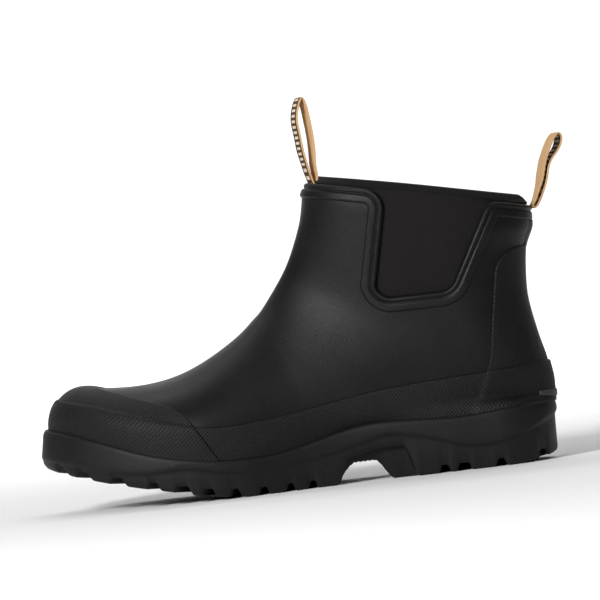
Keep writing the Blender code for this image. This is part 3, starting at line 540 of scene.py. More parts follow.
COUNTER_TOP = 0.811 * BACK_HEIGHT
GORE_BOTTOM = 0.585 * COLLAR_HEIGHT
BACK_CORNER = 0.089 * LENGTH
FRONT_CORNER = 0.284 * LENGTH
OPENING = rounded_path((
    (-0.10 * LENGTH, edge_line(-0.10 * LENGTH), 0.0),
    (BACK_CORNER, edge_line(BACK_CORNER), 0.008),
    (0.181 * LENGTH, GORE_BOTTOM, 0.010),
    (0.317 * LENGTH, GORE_BOTTOM, 0.009),
    (FRONT_CORNER, edge_line(FRONT_CORNER), 0.012),
    (0.55 * LENGTH, edge_line(0.55 * LENGTH), 0.0),
))


def cap_path(end_shift):
    """The toe cap's edge, its low end moved by a shift."""
    return rounded_path((
        (0.953 * LENGTH, 1.095 * TOE_HEIGHT, 0.0),
        (0.715 * LENGTH, 0.748 * TOE_HEIGHT, 0.030),
        (0.642 * LENGTH + end_shift, 0.225 * TOE_HEIGHT, 0.0),
    ), 16)


CAP_OUTER = cap_path(0.0)
CAP_INNER = cap_path(-0.008)
COUNTER = rounded_path((
    (-0.05 * LENGTH, COUNTER_TOP, 0.0),
    (0.084 * LENGTH, COUNTER_TOP, 0.018),
    (0.108 * LENGTH, 0.555 * BACK_HEIGHT, 0.060),
    (0.122 * LENGTH, 0.390 * BACK_HEIGHT, 0.060),
    (0.170 * LENGTH, 0.180 * BACK_HEIGHT, 0.0),
), 14)


def from_opening(skin):
    """Distance outside the opening in the rubber."""
    return path_distance(skin, OPENING)


def inside_cap(skin):
    outer = path_distance(skin, CAP_OUTER)
    inner = path_distance(skin, CAP_INNER)
    return -np.where(skin.inner > 0, inner, outer)


def inside_counter(skin):
    return path_distance(skin, COUNTER)


def below_rand(skin):
    return rand_top(np.clip(skin.station(), 0.0, LENGTH)) - skin.height()


RELIEF_REACH = 0.0012


def relief(skin, field, rise):
    """Height of one layer seen through the layer over it."""
    return rise * ease(field(skin) / RELIEF_REACH)


# Rounded edge of an overlay: distance from the edge and share of the rise
EDGE_STEPS = ((0.0, 0.0), (0.00008, 0.45), (0.00028, 0.78), (0.0006, 0.95), (0.0010, 1.0))

# Length run along the outline from the heel
OUTLINE_S = np.linspace(0.0, LENGTH, 400)
OUTLINE_RUN = np.concatenate(((0.0,), np.cumsum(np.hypot(
    np.diff(OUTLINE_S), np.diff(outline_side(OUTLINE_S, 0.004, 0.0, 0.0))))))


def side_weave(skin):
    """Weave coordinates that run level round the boot's sides."""
    return np.stack((np.interp(skin.station(), OUTLINE_S, OUTLINE_RUN), skin.height()), axis=1)


def raised(skin, field, rise):
    """Cut a skin to where a field is positive and lift it there, with a rounded edge."""
    for distance, _ in EDGE_STEPS:
        skin.cut(field, distance)
    skin.keep(field(skin))
    distances, heights = zip(*EDGE_STEPS)
    return rise * np.interp(field(skin), distances, heights)


# How the lowest edge sinks into the sole: over which height, how deep, and how much more at the tip
SINK_HEIGHT = 0.0014
SINK_DEPTH = 0.0010
TIP_DEPTH = 0.0012


def lifted(skin, lift):
    """The skin's points off its surface by a height each, with the lowest edge sunk into the sole."""
    moved = skin.points + skin.normals * lift[:, None]
    foot = feather(np.clip(skin.station(), 0.0, LENGTH))
    sink = 1 - ease((skin.height() - foot) / SINK_HEIGHT)
    tip = ease((skin.station() - 0.90 * LENGTH) / (0.06 * LENGTH))
    moved[:, 2] -= sink * (np.maximum(moved[:, 2] - skin.height(), 0.0) + SINK_DEPTH + TIP_DEPTH * tip)
    return moved


class Look:
    """A new material, with helpers that each add nodes and return their output."""

    def __init__(self, name, colour, roughness, specular):
        self.material = bpy.data.materials.new(name)
        self.material.use_nodes = True
        self.tree = self.material.node_tree
        self.shader = self.tree.nodes["Principled BSDF"].inputs
        self.feed(self.shader, {"Base Color": (*colour, 1.0), "Roughness": roughness,
                                "Specular IOR Level": specular})

    def feed(self, sockets, values):
        """Give inputs, by name or number, a link or a plain value each."""
        for key, value in values.items():
            if isinstance(value, bpy.types.NodeSocket):
                self.tree.links.new(value, sockets[key])
            else:
                sockets[key].default_value = value

    def add(self, kind, output, values, **settings):
        """A node with its settings and inputs."""
        node = self.tree.nodes.new("ShaderNode" + kind)
        for key, value in settings.items():
            setattr(node, key, value)
        self.feed(node.inputs, values)
        return node.outputs[output]

    def noise(self, vector, scale, detail=3.0, roughness=0.55):
        return self.add("TexNoise", "Fac", {
            "Scale": scale, "Detail": detail, "Roughness": roughness, "Vector": vector})

    def ramp(self, value, low, high, first, second):
        """A value's range from low to high, moved to the range from first to second."""
        return self.add("MapRange", "Result", {
            "From Min": low, "From Max": high, "To Min": first, "To Max": second, "Value": value})

    def mix(self, share, first, second):
        """A mix of two colours, of which the first can be an output."""
        if isinstance(first, tuple):
            first = (*first, 1.0)
        values = {"Factor": share, "A": first, "B": (*second, 1.0)}
        return self.add("Mix", "Result", values, data_type="RGBA")

    def bump(self, height, distance, strength, normal=None):
        values = {"Distance": distance, "Strength": strength, "Height": height}
        if normal:
            values["Normal"] = normal
        return self.add("Bump", "Normal", values)

    def waves(self, vector, scale, degrees):
        """Fine parallel ridges at an angle in the weave coordinates."""
        turned = self.add("Mapping", "Vector", {
            "Rotation": (0.0, 0.0, math.radians(degrees)), "Vector": vector})
        return self.add("TexWave", "Fac", {"Scale": scale, "Distortion": 0.0, "Vector": turned})

    def maths(self, operation, first, second=0.0):
        return self.add("Math", 0, {0: first, 1: second}, operation=operation)

    def product(self, *values):
        """The product of two or more values."""
        total = values[0]
        for value in values[1:]:
            total = self.maths("MULTIPLY", total, value)
        return total

    def weighted(self, first, share, second, other):
        """Two values added up by their shares."""
        return self.maths("ADD", self.product(first, share), self.product(second, other))

    def space(self):
        return self.add("TexCoord", "Object", {})

    def weave(self):
        return self.add("UVMap", "UV", {}, uv_map="weave")


def rubber(name, dark, light, rough_low, rough_high, hatch=0.0):
    """Matte rubber with a faint bloom and, where hatched, a fine crossed texture."""
    look = Look(name, dark, rough_low, 0.19)
    space = look.space()
    bloom = look.noise(space, 22.0, 5.0, 0.6)
    speck = look.noise(space, 1300.0, 2.0)
    tone = look.ramp(look.weighted(bloom, 0.4, speck, 0.6), 0.35, 0.65, 0.0, 1.0)
    fine = look.noise(space, 900.0)
    spread = look.weighted(bloom, 0.7, fine, 0.3)
    grain = look.noise(space, 1500.0, 2.0)
    normal = look.bump(grain, 0.0003, 0.5)
    ripples = look.noise(space, 55.0)
    normal = look.bump(ripples, 0.0012, 0.18, normal)
    if hatch:
        weave = look.weave()
        crossed = look.product(look.waves(weave, 2.1, 45), look.waves(weave, 2.1, -45))
        normal = look.bump(crossed, 0.0005, hatch, normal)
    look.feed(look.shader, {"Base Color": look.mix(tone, dark, light), "Normal": normal,
                            "Roughness": look.ramp(spread, 0.3, 0.7, rough_low, rough_high)})
    return look.material


def knit(name, dark, light, scale):
    """Fine knit face of neoprene or edge tape."""
    look = Look(name, dark, 0.85, 0.2)
    weave = look.weave()
    loops = look.product(look.waves(weave, scale, 0), look.waves(weave, scale * 1.3, 90))
    fuzz = look.noise(look.space(), 700.0)
    tone = look.weighted(loops, 0.6, fuzz, 0.5)
    normal = look.bump(fuzz, 0.0003, 0.5)
    look.feed(look.shader, {"Base Color": look.mix(tone, dark, light), "Sheen Weight": 0.05,
                            "Sheen Roughness": 0.5, "Normal": look.bump(loops, 0.0005, 0.6, normal)})
    return look.material


RUBBER_UPPER = rubber("upper_rubber", (0.0018, 0.0018, 0.0019), (0.0075, 0.0075, 0.0078), 0.38, 0.54)
RUBBER_HATCH = rubber("hatched_rubber", (0.0026, 0.0027, 0.0031), (0.0080, 0.0083, 0.0094), 0.46, 0.60, 0.5)
RUBBER_BAND = rubber("band_rubber", (0.0020, 0.0020, 0.0022), (0.0072, 0.0072, 0.0076), 0.38, 0.52)
RUBBER_SOLE = rubber("sole_rubber", (0.0030, 0.0031, 0.0033), (0.0090, 0.0092, 0.0096), 0.44, 0.58)
RUBBER_BAR = rubber("bar_rubber", (0.034, 0.036, 0.040), (0.052, 0.054, 0.059), 0.40, 0.55)
TAB_TAPE = rubber("tab_tape", (0.10, 0.10, 0.105), (0.15, 0.15, 0.155), 0.5, 0.65)
NEOPRENE = knit("neoprene_knit", (0.0030, 0.0022, 0.0028), (0.0120, 0.0092, 0.0110), 5.5)
BINDING_KNIT = knit("binding_knit", (0.0012, 0.0012, 0.0014), (0.0070, 0.0070, 0.0075), 3.2)
LINING = knit("lining_cloth", (0.03, 0.03, 0.032), (0.06, 0.06, 0.064), 4.0)
INSOLE_CLOTH = knit("insole_cloth", (0.035, 0.035, 0.038), (0.07, 0.07, 0.075), 4.0)

FULL = base_skin()

# How far the shell starts below the edge band, and how far one overlay reaches under the next
SHELL_LAP = 0.003
OVERLAP = 0.002


def show(name, skin, lift, material, weave, node):
    """A skin lifted off the rubber, in place of a CAD node."""
    item = make_object(name, lifted(skin, lift), skin.faces, material, weave)
    stand_for(node)


def make_upper():
    """The rubber shell under its overlays, with its inner face."""
    skin = FULL.copy()
    skin.cut(from_opening, SHELL_LAP)
    skin.keep(from_opening(skin) - SHELL_LAP)
    flat = np.zeros(len(skin.points))
    show("upper_shell", skin, flat, RUBBER_UPPER, skin.weave, "upper")
    make_object("upper_lining", lifted(skin, flat - WALL), skin.faces[:, ::-1], LINING, skin.weave)


def make_cap():
    skin = FULL.copy()
    lift = raised(skin, inside_cap, CAP_RISE) + 0.75 * relief(skin, below_rand, RAND_RISE)
    show("toe_cap_skin", skin, lift, RUBBER_HATCH, skin.weave, "toe_cap")


def make_rand():
    skin = FULL.copy()
    skin.cut(inside_cap, OVERLAP)
    skin.keep(OVERLAP - inside_cap(skin))
    lift = raised(skin, below_rand, RAND_RISE) + 0.8 * relief(skin, inside_counter, COUNTER_RISE)
    show("rand_skin", skin, lift, RUBBER_HATCH, side_weave(skin), "rand")


def make_counter():
    skin = FULL.copy()
    skin.cut(below_rand, OVERLAP)
    skin.keep(OVERLAP - below_rand(skin))
    lift = raised(skin, inside_counter, COUNTER_RISE)
    show("heel_counter_skin", skin, lift, RUBBER_HATCH, side_weave(skin), "heel_counter")


# The edge band's profile: distance from the opening and height over the rubber
BAND_PROFILE = (
    (0.0, -0.0018), (0.0002, -0.0004), (0.0006, 0.0005), (0.0013, 0.0012), (0.0021, 0.0013),
    (0.0029, 0.0009), (0.0034, 0.0003), (0.0037, 0.0002), (0.0041, 0.0007), (0.0048, 0.0011),
    (0.0078, 0.0011), (0.0085, 0.0008), (0.0088, 0.0004), (0.0090, -0.0001),
)


def make_edge_band():
    skin = FULL.copy()
    for distance, _ in BAND_PROFILE:
        skin.cut(from_opening, distance)
    gap = from_opening(skin)
    skin.keep(np.minimum(gap, BAND_WIDTH - gap))
    distances, heights = zip(*BAND_PROFILE)
    lift = np.interp(from_opening(skin), distances, heights)
    show("edge_band_skin", skin, lift, RUBBER_BAND, skin.weave, "edge_band")


# Lower edge of the heel bar, how far the back tab's ends reach under their neighbours, and how far
# forward the tab can lie
BAR_BOTTOM = SOLE_HEIGHT + 0.0012
TAB_LAP = 0.001
TAB_REACH = 0.04


def inside_bar(skin):
    return HEEL_BAR_REACH - skin.station()


def inside_tab(skin):
    width = TAB_WIDTH / 2 - np.abs(skin.points[:, 1])
    return np.minimum(width, TAB_REACH - skin.station())


def make_patch(name, low, high, inside, rise, material, node):
    """A raised patch between two heights, where a further field is positive."""
    def field(skin):
        z = skin.height()
        return np.minimum(np.minimum(z - low, high - z), inside(skin))

    skin = FULL.copy()
    lift = raised(skin, field, rise)
    show(name, skin, lift, material, skin.weave, node)


def shaft_rings(rows, count):
    """Closed sections with normals and upward directions, for the soft collar."""
    sections = []
    for row in rows:
        outer, _ = section_points(row, count, False)
        inner, _ = section_points(row, count, True)
        sections.append(np.concatenate((outer, inner[-2:0:-1])))
    grid = np.array(sections)
    around = np.roll(grid, -1, axis=1) - np.roll(grid, 1, axis=1)
    upward = np.gradient(grid, axis=0)
    normals = np.cross(upward, around)
    normals /= np.linalg.norm(normals, axis=2, keepdims=True)
    middle = grid.mean(axis=1, keepdims=True)
    if np.mean(np.sum(normals * (grid - middle), axis=2)) < 0:
        normals = -normals
    upward /= np.linalg.norm(upward, axis=2, keepdims=True)
    return grid, normals, upward


def net_faces(levels, count, close_net, close_lines):
    """Faces between lines of points; what is closed joins its end to its start."""
    faces = []
    for k in range(levels if close_net else levels - 1):
        here, there = k * count, (k + 1) % levels * count
        for i in range(count if close_lines else count - 1):
            after = (i + 1) % count
            faces.append((here + i, here + after, there + after, there + i))
    return faces


def ring_weave(grid):
    """Weave coordinates from the length round each ring and up between rings."""
    steps = np.linalg.norm(np.roll(grid, -1, axis=1) - grid, axis=2)
    around = np.cumsum(steps, axis=1) - steps
    climbs = np.linalg.norm(np.diff(grid, axis=0), axis=2).mean(axis=1)
    climb = np.concatenate(((0.0,), np.cumsum(climbs)))
    return np.stack((around, np.repeat(climb[:, None], grid.shape[1], axis=1)), axis=2).reshape(-1, 2)


def show_solid(name, lines, net, material, weave, node, merge=0.0):
    """A solid through lines of points, in place of a CAD node, its faces turned outwards."""
    lines = np.array(lines)
    faces = net_faces(*lines.shape[:2], *net)
    item = make_object(name, lines.reshape(-1, 3), faces, material, weave)
    mesh = bmesh.new()
    mesh.from_mesh(item.data)
    if merge:
        bmesh.ops.remove_doubles(mesh, verts=mesh.verts, dist=merge)
        bmesh.ops.dissolve_degenerate(mesh, dist=merge / 2, edges=mesh.edges)
    bmesh.ops.recalc_face_normals(mesh, faces=mesh.faces)
    mesh.to_mesh(item.data)
    mesh.free()
    stand_for(node)
    return item


# The sleeve: depth of its face under the rubber's surface, how much it swells in a gore, over which
# distance, its gap to the shell and its highest row. Points up each side of a collar ring.
SLEEVE_SET = 0.0021
GORE_SWELL = 0.0006
GORE_FADE = 0.014
FIT_GAP = 0.0003
SLEEVE_TOP_ROW = TOP_ROW - 0.05
COLLAR_POINTS = 90


def gore_bulge(points):
    """Share of the swell at each place, by how far inside a gore it is."""
    return ease(-from_opening(Skin(points, None)) / GORE_FADE)


def make_sleeve():
    """Soft sleeve inside the shell, swelling a little in the gores."""
    grid, normals, _ = shaft_rings(np.linspace(SLEEVE_ROW, SLEEVE_TOP_ROW, 120), COLLAR_POINTS)
    levels, count = grid.shape[:2]
    swell = gore_bulge(grid.reshape(-1, 3)).reshape(levels, count, 1)
    outside = grid - normals * (SLEEVE_SET - GORE_SWELL * swell)
    inside = grid - normals * (WALL + FIT_GAP + SLEEVE_THICK)
    rings = np.concatenate((outside, inside[::-1]))
    show_solid("neoprene_sleeve_knit", rings, (True, True), NEOPRENE, ring_weave(rings),
               "neoprene_sleeve")


# The binding: its lowest row, the places of its two faces off the rubber's surface, the height of
# its fold, and how much thinner each face starts
BINDING_ROW = 18.05
BINDING_OUTER, BINDING_INNER = -0.0009, -0.0066
BINDING_FOLD = 0.0021
THIN_OUTER, THIN_INNER = 0.0011, 0.0008


def make_binding():
    """Knit tape folded over the collar's edge."""
    grid, normals, upward = shaft_rings(np.linspace(BINDING_ROW, TOP_ROW, 10), COLLAR_POINTS)
    last = len(grid) - 1
    profile = [(k, BINDING_OUTER - THIN_OUTER * (1 - ease(k / 2.0)), 0.0) for k in range(last + 1)]
    for step in range(1, 12):
        turn = math.pi * step / 12
        offset = BINDING_INNER + (BINDING_OUTER - BINDING_INNER) * (1 + math.cos(turn)) / 2
        profile.append((last, offset, BINDING_FOLD * math.sin(turn)))
    profile += [(k, BINDING_INNER + THIN_INNER * (1 - ease(k / 2.0)), 0.0) for k in range(last, -1, -1)]
    rings = np.array([grid[k] + normals[k] * offset + upward[k] * lift for k, offset, lift in profile])
    show_solid("collar_binding_knit", rings, (False, True), BINDING_KNIT, ring_weave(rings),
               "collar_binding")


# Notches between the lugs at the sole's side: station as a share of LENGTH, and width in metres.
NOTCHES = np.array((
    (0.043, 0.0060), (0.123, 0.0060), (0.194, 0.0080), (0.231, 0.0060),
    (0.485, 0.0050), (0.528, 0.0050), (0.579, 0.0056), (0.632, 0.0056), (0.682, 0.0070),
    (0.729, 0.0084), (0.784, 0.0060), (0.851, 0.0080), (0.914, 0.0072), (0.955, 0.0050),
))
LUG_DEPTH = 0.0045
GROOVE_ANGLE = math.radians(14)
SPINE_WIDTH = 0.015

# The arch across the shank: stations of its ends as shares of LENGTH, its height, and how much these
# change up to the inner side. Its ribs: height and pitch.
ARCH_START, ARCH_START_CHANGE = 0.330, 0.042
ARCH_END, ARCH_END_CHANGE = 0.440, 0.040
ARCH_HEIGHT, ARCH_HEIGHT_CHANGE = 0.0115, 0.0015
RIB_HEIGHT, RIB_PITCH = 0.0002, 0.0026
# The arch where it opens in the sole's two sides: its stations, its height, the station
# from which its top falls and how steeply, and the share of the half width where it begins
SIDE_START, SIDE_END = 0.0835, 0.1315
SIDE_HEIGHT = 0.018
FALL_START, FALL = 0.105, 0.17
SIDE_SHARE = 0.82


def arch_rise(s, t):
    """Height of the arch over the tread; t runs from -1 at the outer side to 1 at the inner."""
    inner = (t + 1) / 2
    start = LENGTH * (ARCH_START - ARCH_START_CHANGE * inner)
    end = LENGTH * (ARCH_END + ARCH_END_CHANGE * inner)
    within = ease((s - start) / 0.011) * ease((end + 0.002 - s) / 0.016)
    ribs = RIB_HEIGHT * np.sin(s * 2 * math.pi / RIB_PITCH)
    shank = (ARCH_HEIGHT + ARCH_HEIGHT_CHANGE * inner + ribs) * within
    side = ease((s - SIDE_START) / 0.0085) * ease((SIDE_END - s) / 0.010)
    side = side * (SIDE_HEIGHT - FALL * np.maximum(s - FALL_START, 0.0))
    wall = ease((np.abs(t) - SIDE_SHARE) / 0.09)
    return shank * (1 - wall) + side * wall


def groove_rise(s, y, half):
    """Slanted grooves between the lugs, from the sides to the spine."""
    off = np.abs(y) - SPINE_WIDTH / 2
    station = s + np.tan(GROOVE_ANGLE) * (half - np.abs(y))
    across = NOTCHES[:, 1] / 2 - np.abs(station[..., None] - NOTCHES[:, 0] * LENGTH)
    slot = ease((across.max(axis=-1) + 0.0012) / 0.0028)
    return LUG_DEPTH * slot * ease(off / 0.002)


# Inset of the tread from the outline, and the distance within which points merge
SOLE_INSET = 0.0036
SOLE_MERGE = 0.00002
# The sole's step: its depth, then each level's drop below the wave line and share of the depth
STEP_DEPTH = 0.0016
STEP_LEVELS = ((0.0022, 1.0), (0.0009, 0.92), (0.0, 0.62), (-0.0006, 0.22), (-0.0014, 0.03))
# The sole's rim: each level's drop below the feather line, inset, and inset at the toe
RIM_LEVELS = (
    (0.0036, 0.0001, 0.0022), (0.0018, 0.0003, 0.0030), (0.0007, 0.0008, 0.0036),
    (0.0001, 0.0016, 0.0044), (0.0, 0.0024, 0.0052),
)


def make_outsole():
    """Sole with its stepped side, arch, rounded edges and lugs."""
    turn = np.linspace(0, math.pi, 640)
    share = 0.35 * ((1 - np.cos(turn)) / 2) + 0.65 * turn / math.pi
    share[0], share[-1] = 0.0, 1.0
    quarter = np.linspace(0, math.pi / 2, 26)
    across = np.concatenate((-np.cos(quarter), np.sin(quarter)[1:]))

    def bottom_line(t):
        s = SOLE_INSET + (LENGTH - 2 * SOLE_INSET) * share
        half = outline_side(s, SOLE_INSET, SOLE_INSET, SOLE_INSET)
        y = t * half
        z = tread(s) + arch_rise(s, t) + groove_rise(s, y, half)
        return np.stack((ORIGIN_STATION - s, centre(s) + y, z), axis=1)

    bottom = [bottom_line(t) for t in across]

    def side_lines(sign):
        edge_z = (bottom[0] if sign < 0 else bottom[-1])[:, 2]
        lines = []

        def line(inset, toe_inset, height):
            s = inset + (LENGTH - inset - toe_inset) * share
            half = outline_side(s, inset, inset, toe_inset)
            lines.append(np.stack((ORIGIN_STATION - s, centre(s) + sign * half, height(s)), axis=1))

        line(0.0026, 0.0026, lambda s: edge_z + 0.0006)
        line(0.0021, 0.0017, lambda s: edge_z + 0.0018)
        for drop, depth in STEP_LEVELS:
            inset = STEP_DEPTH * depth
            line(inset, 0.4 * inset, lambda s, drop=drop: np.maximum(wave(s) - drop, edge_z + 0.0024))
        line(0.0, 0.0004, lambda s: np.maximum(wave(s) + 0.0035, edge_z + 0.0050))
        for drop, inset, toe_inset in RIM_LEVELS:
            line(inset, toe_inset, lambda s, drop=drop: feather(s) - drop)
        lip = SOLE_MARGIN + WALL + 0.0005
        toe_lip = TOE_SET + WALL + 0.0005
        line(lip, toe_lip, lambda s: feather(s) - 0.0002)
        line(lip + 0.0004, toe_lip + 0.0004, sole_floor)
        return lines

    lines = np.array(side_lines(-1)[::-1] + bottom + side_lines(1))
    item = show_solid("outsole_body", lines, (True, False), RUBBER_SOLE,
                      lines[:, :, [0, 2]].reshape(-1, 2), "outsole", SOLE_MERGE)
    item.data.shade_smooth()
    item.data.set_sharp_from_angle(angle=math.radians(50))


# The insole: gap to the wall, then the levels of its rim as inset and height over the sole's floor,
# and how far its middle dips
INSOLE_GAP = 0.0016
INSOLE_LEVELS = ((0.0, 0.0003), (0.0, 0.0026), (0.0004, 0.0033), (0.0014, 0.0037))
INSOLE_DIP = 0.0012


def make_insole():
    """Soft insole with a rounded rim on the sole's floor."""
    share = (1 - np.cos(np.linspace(0, math.pi, 160))) / 2
    rim = []
    for extra, lift in INSOLE_LEVELS:
        inset = WALL + INSOLE_GAP + extra
        start = HEEL_SET + inset
        finish = TOE_SET + inset
        s = start + (LENGTH - start - finish) * share
        rim.append((s, outline_side(s, SOLE_MARGIN + inset, start, finish), sole_floor(s) + lift))

    def line(s, half, z, t):
        return np.stack((ORIGIN_STATION - s, centre(s) + t * half, z), axis=1)

    s, half, z = rim[-1]
    outer = [line(*level, -1) for level in rim]
    top = [line(s, half, z - INSOLE_DIP * (1 - t * t), t) for t in np.linspace(-1, 1, 25)[1:-1]]
    inner = [line(*level, 1) for level in reversed(rim)]
    lines = np.array(outer + top + inner)
    show_solid("insole_cushion", lines, (True, False), INSOLE_CLOTH, lines[:, :, :2].reshape(-1, 2),
               "insole")


# Centre lines of the loops: places outwards and up, as shares of the loop's height
FRONT_LOOP = ((0.040, -0.005), (0.076, 0.080), (0.100, 0.190), (0.132, 0.355), (0.148, 0.530),
              (0.164, 0.710), (0.136, 0.860), (0.075, 0.975), (0.032, 0.890), (0.010, 0.730),
              (-0.007, 0.550), (-0.012, 0.370), (-0.003, 0.200), (0.000, 0.070))
BACK_LOOP = ((0.045, 0.015), (0.088, 0.075), (0.138, 0.170), (0.197, 0.306), (0.244, 0.457), (0.287, 0.590),
             (0.345, 0.714), (0.405, 0.825), (0.473, 0.925), (0.545, 0.975), (0.585, 0.915), (0.556, 0.805),
             (0.488, 0.709), (0.405, 0.622), (0.345, 0.538), (0.306, 0.440), (0.262, 0.286), (0.206, 0.150),
             (0.140, 0.045), (0.085, -0.008))
# Shares of a loop's height over which it turns and over which its root is drawn in, the shift of
# the front loop, and the places of a loop's foot off the rim
TURN_SHARE = 0.35
ROOT_SHARE = 0.18
FRONT_SHIFT = 0.0034
LOOP_OUT, LOOP_UP = -0.0001, 0.0003
ROOT_IN, ROOT_DOWN = 0.0008, 0.0030


def closed_curve(points, count):
    """Points on a closed Catmull-Rom curve."""
    place = np.arange(count) * len(points) / count
    k = place.astype(int)
    t = (place - k)[:, None]
    a, b, c, d = (np.roll(points, -n, axis=0)[k] for n in (-1, 0, 1, 2))
    return 0.5 * (2 * b + (c - a) * t + (2 * a - 5 * b + 4 * c - d) * t ** 2
                  + (3 * b - a - 3 * c + d) * t ** 3)


def tape_material():
    """Tan woven tape whose outer face is dark with plain light dashes."""
    look = Look("woven_tape", (0.30, 0.18, 0.09), 0.85, 0.2)
    weave = look.weave()
    cloth = look.product(look.waves(weave, 4.4, 32), look.waves(weave, 6.5, 90))
    base = look.mix(cloth, (0.50, 0.29, 0.13), (0.88, 0.62, 0.36))
    split = look.tree.nodes.new("ShaderNodeSeparateXYZ")
    look.feed(split.inputs, {0: weave})
    along, side = split.outputs["X"], split.outputs["Y"]
    run = look.maths("FRACT", look.product(along, 3.2))
    dash = look.maths("LESS_THAN", look.maths("ABSOLUTE", look.maths("SUBTRACT", run, 0.5)), 0.24)
    across = look.maths("ABSOLUTE", side)
    middle = look.maths("LESS_THAN", across, 0.27)
    field = look.maths("LESS_THAN", across, 0.47)
    outer = look.maths("LESS_THAN", along, 0.0)
    ground = look.mix(look.product(field, outer), base, (0.060, 0.036, 0.022))
    marks = look.mix(look.product(dash, middle, outer), ground, (0.74, 0.60, 0.44))
    normal = look.bump(look.noise(look.space(), 1800.0, 2.0), 0.0003, 0.4)
    look.feed(look.shader, {"Base Color": marks, "Normal": look.bump(cloth, 0.0004, 0.7, normal)})
    return look.material


TAPE = tape_material()


def collar_seat(across, front):
    """A place on the rubber's top edge, with the outward direction there in plan."""
    grid, normals, _ = shaft_rings([EDGE_ROW - 0.3, EDGE_ROW, TOP_ROW], 60)
    places, out = grid[1], normals[1]
    on_side = (places[:, 0] < places[:, 0].mean()) == front
    order = np.argsort(places[on_side][:, 1])
    ys = places[on_side][order, 1]
    place = [np.interp(across, ys, places[on_side][order, k]) for k in range(3)]
    away = np.array([np.interp(across, ys, out[on_side][order, k]) for k in range(2)])
    return np.array(place), away / np.linalg.norm(away)


def make_loop(name, node, shares, height, across, front, turn):
    """A loop of woven tape standing on the collar's edge."""
    place, out = collar_seat(across, front)
    path = closed_curve([(a * height, b * height) for a, b in shares], 180)
    climb = np.clip(path[:, 1] / (TURN_SHARE * height), 0.0, 1.0)
    heading = math.atan2(out[1], out[0]) + turn * climb
    facing = np.stack((np.cos(heading), np.sin(heading)), axis=1)
    along_tape = np.stack((-facing[:, 1], facing[:, 0]), axis=1)
    root = 1 - ease(path[:, 1] / (ROOT_SHARE * height))
    ahead = np.roll(path, -1, axis=0) - np.roll(path, 1, axis=0)
    ahead /= np.linalg.norm(ahead, axis=1, keepdims=True)
    sideways = np.stack((-ahead[:, 1], ahead[:, 0]), axis=1)
    travel = 0.01 + np.concatenate(((0.0,), np.cumsum(np.linalg.norm(np.diff(path, axis=0), axis=1))))
    shift = TAPE_THICK / 2 + LOOP_OUT - FRONT_SHIFT * front - ROOT_IN * root
    rings, weave = [], []
    for face in (1, -1):
        for side in face * np.linspace(-1, 1, 13):
            spots = path + sideways * TAPE_THICK * 0.5 * face * (1 - abs(side) ** 8 * 0.6)
            reach = spots[:, 0] + shift
            up = place[2] + spots[:, 1] + TAPE_THICK + LOOP_UP - ROOT_DOWN * root
            aside = side * TAPE_WIDTH / 2
            plan = place[:2] + facing * reach[:, None] + along_tape * aside
            rings.append(np.column_stack((plan, up)))
            weave.append(np.column_stack((travel * face, np.full(len(path), aside))))
    show_solid(name, rings, (True, True), TAPE, np.array(weave).reshape(-1, 2), node)


make_outsole()
make_insole()
make_upper()
make_sleeve()
make_binding()
make_cap()
make_rand()
make_counter()
make_edge_band()
make_patch("heel_bar_skin", BAR_BOTTOM, BAR_BOTTOM + HEEL_BAR_HEIGHT, inside_bar, BAR_RISE, RUBBER_BAR,
           "heel_bar")
make_patch("back_tab_tape", COUNTER_TOP - TAB_LAP, edge_line(0.0) - BAND_WIDTH + TAB_LAP, inside_tab,
           TAB_RISE, TAB_TAPE, "back_tab")
make_loop("front_loop_tape", "pull_loop_front", FRONT_LOOP, FRONT_LOOP_HEIGHT, FRONT_LOOP_ACROSS, True,
          FRONT_LOOP_TURN)
make_loop("back_loop_tape", "pull_loop_back", BACK_LOOP, BACK_LOOP_HEIGHT, BACK_LOOP_ACROSS, False,
          BACK_LOOP_TURN)


FLOOR_HALF = 6.0
WALL_Y = 4.2
WALL_TOP = 4.0
BEND = 0.5


def make_floor():
    """A pale seamless floor with a curved rise behind the boot."""
    outline = [(-FLOOR_HALF, 0.0)]
    for step in range(13):
        turn = math.pi / 2 * step / 12
        outline.append((WALL_Y - BEND + BEND * math.sin(turn), BEND * (1 - math.cos(turn))))
    outline.append((WALL_Y, WALL_TOP))
    verts = [(x, y, z) for y, z in outline for x in (-FLOOR_HALF, FLOOR_HALF)]
    faces = [(2 * k, 2 * k + 1, 2 * k + 3, 2 * k + 2) for k in range(len(outline) - 1)]
    data = bpy.data.meshes.new("studio_floor")
    data.from_pydata(verts, [], faces)
    data.shade_smooth()
    floor = bpy.data.objects.new("studio_floor", data)
    bpy.context.scene.collection.objects.link(floor)
    look = Look("studio_paper", (0.86, 0.86, 0.86), 0.75, 0.5)
    grain = look.noise(look.space(), 300.0, 2.0)
    look.feed(look.shader, {"Normal": look.bump(grain, 0.0001, 0.05)})
    data.materials.append(look.material)


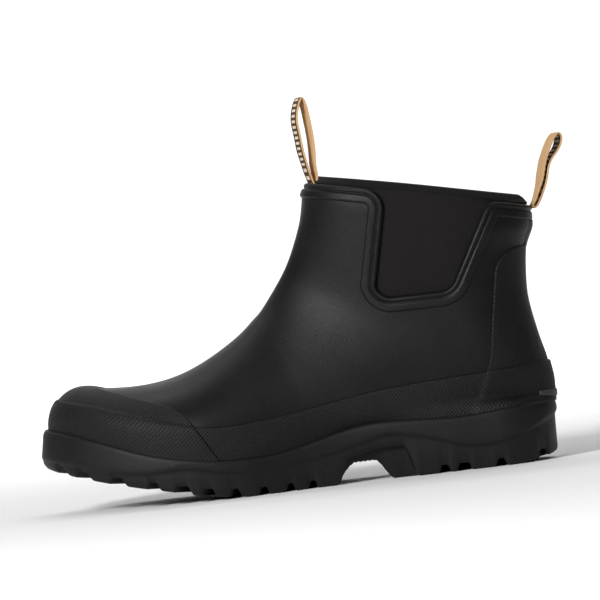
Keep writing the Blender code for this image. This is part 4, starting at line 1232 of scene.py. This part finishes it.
def add_light(name, place, target, size, energy):
    data = bpy.data.lights.new(name, "AREA")
    data.shape = "RECTANGLE"
    data.size, data.size_y = size
    data.energy = energy
    light = bpy.data.objects.new(name, data)
    bpy.context.scene.collection.objects.link(light)
    light.location = place
    light.rotation_euler = (Vector(target) - Vector(place)).to_track_quat("-Z", "Y").to_euler()


# Softboxes: name, place, the place they face, size and power
SOFTBOXES = (
    ("key_softbox", (-0.90, -1.40, 0.78), (-0.1, 0.0, 0.11), (0.45, 0.45), 34.0),
    ("fill_softbox", (0.60, -1.1, 0.90), (-0.1, -0.5, 0.0), (1.2, 1.0), 3.0),
    ("top_softbox", (-0.15, 0.10, 1.3), (-0.1, 0.0, 0.08), (1.6, 1.6), 1.8),
    ("floor_softbox", (-0.1, 0.85, 1.3), (-0.1, 1.6, 0.0), (3.0, 0.8), 22.0),
    ("background_softbox", (-0.1, 1.9, 1.6), (-0.1, 3.4, 0.0), (3.0, 1.5), 75.0),
)

make_floor()
for softbox in SOFTBOXES:
    add_light(*softbox)
world = bpy.data.worlds.new("studio_world")
world.use_nodes = True
sky = world.node_tree.nodes["Background"].inputs
sky["Color"].default_value = (1.0, 1.0, 1.0, 1.0)
sky["Strength"].default_value = 0.05
bpy.context.scene.world = world
bpy.context.scene.view_settings.view_transform = "Standard"

# The view is square on the boot's outer side, tipped by a small roll. It is given by its centre in
# the boot's side plane and its height.
ROLL = math.radians(-6.7)
VIEW_X, VIEW_Z = -0.0992, 0.1073
VIEW_SIZE = 0.3466
LENS = 350.0
SENSOR = 36.0
ELEVATION = math.radians(0.8)


def add_camera():
    data = bpy.data.cameras.new("photo_camera")
    data.lens = LENS
    data.sensor_width = SENSOR
    data.clip_start = 0.01
    camera = bpy.data.objects.new("photo_camera", data)
    bpy.context.scene.collection.objects.link(camera)
    back = Vector((0.0, -math.cos(ELEVATION), math.sin(ELEVATION)))
    camera.location = Vector((VIEW_X, 0.0, VIEW_Z)) + back * (VIEW_SIZE * LENS / SENSOR)
    camera.rotation_mode = "QUATERNION"
    upright = (-back).to_track_quat("-Z", "Y")
    camera.rotation_quaternion = upright @ Quaternion(Vector((0.0, 0.0, 1.0)), ROLL)
    bpy.context.scene.camera = camera


add_camera()
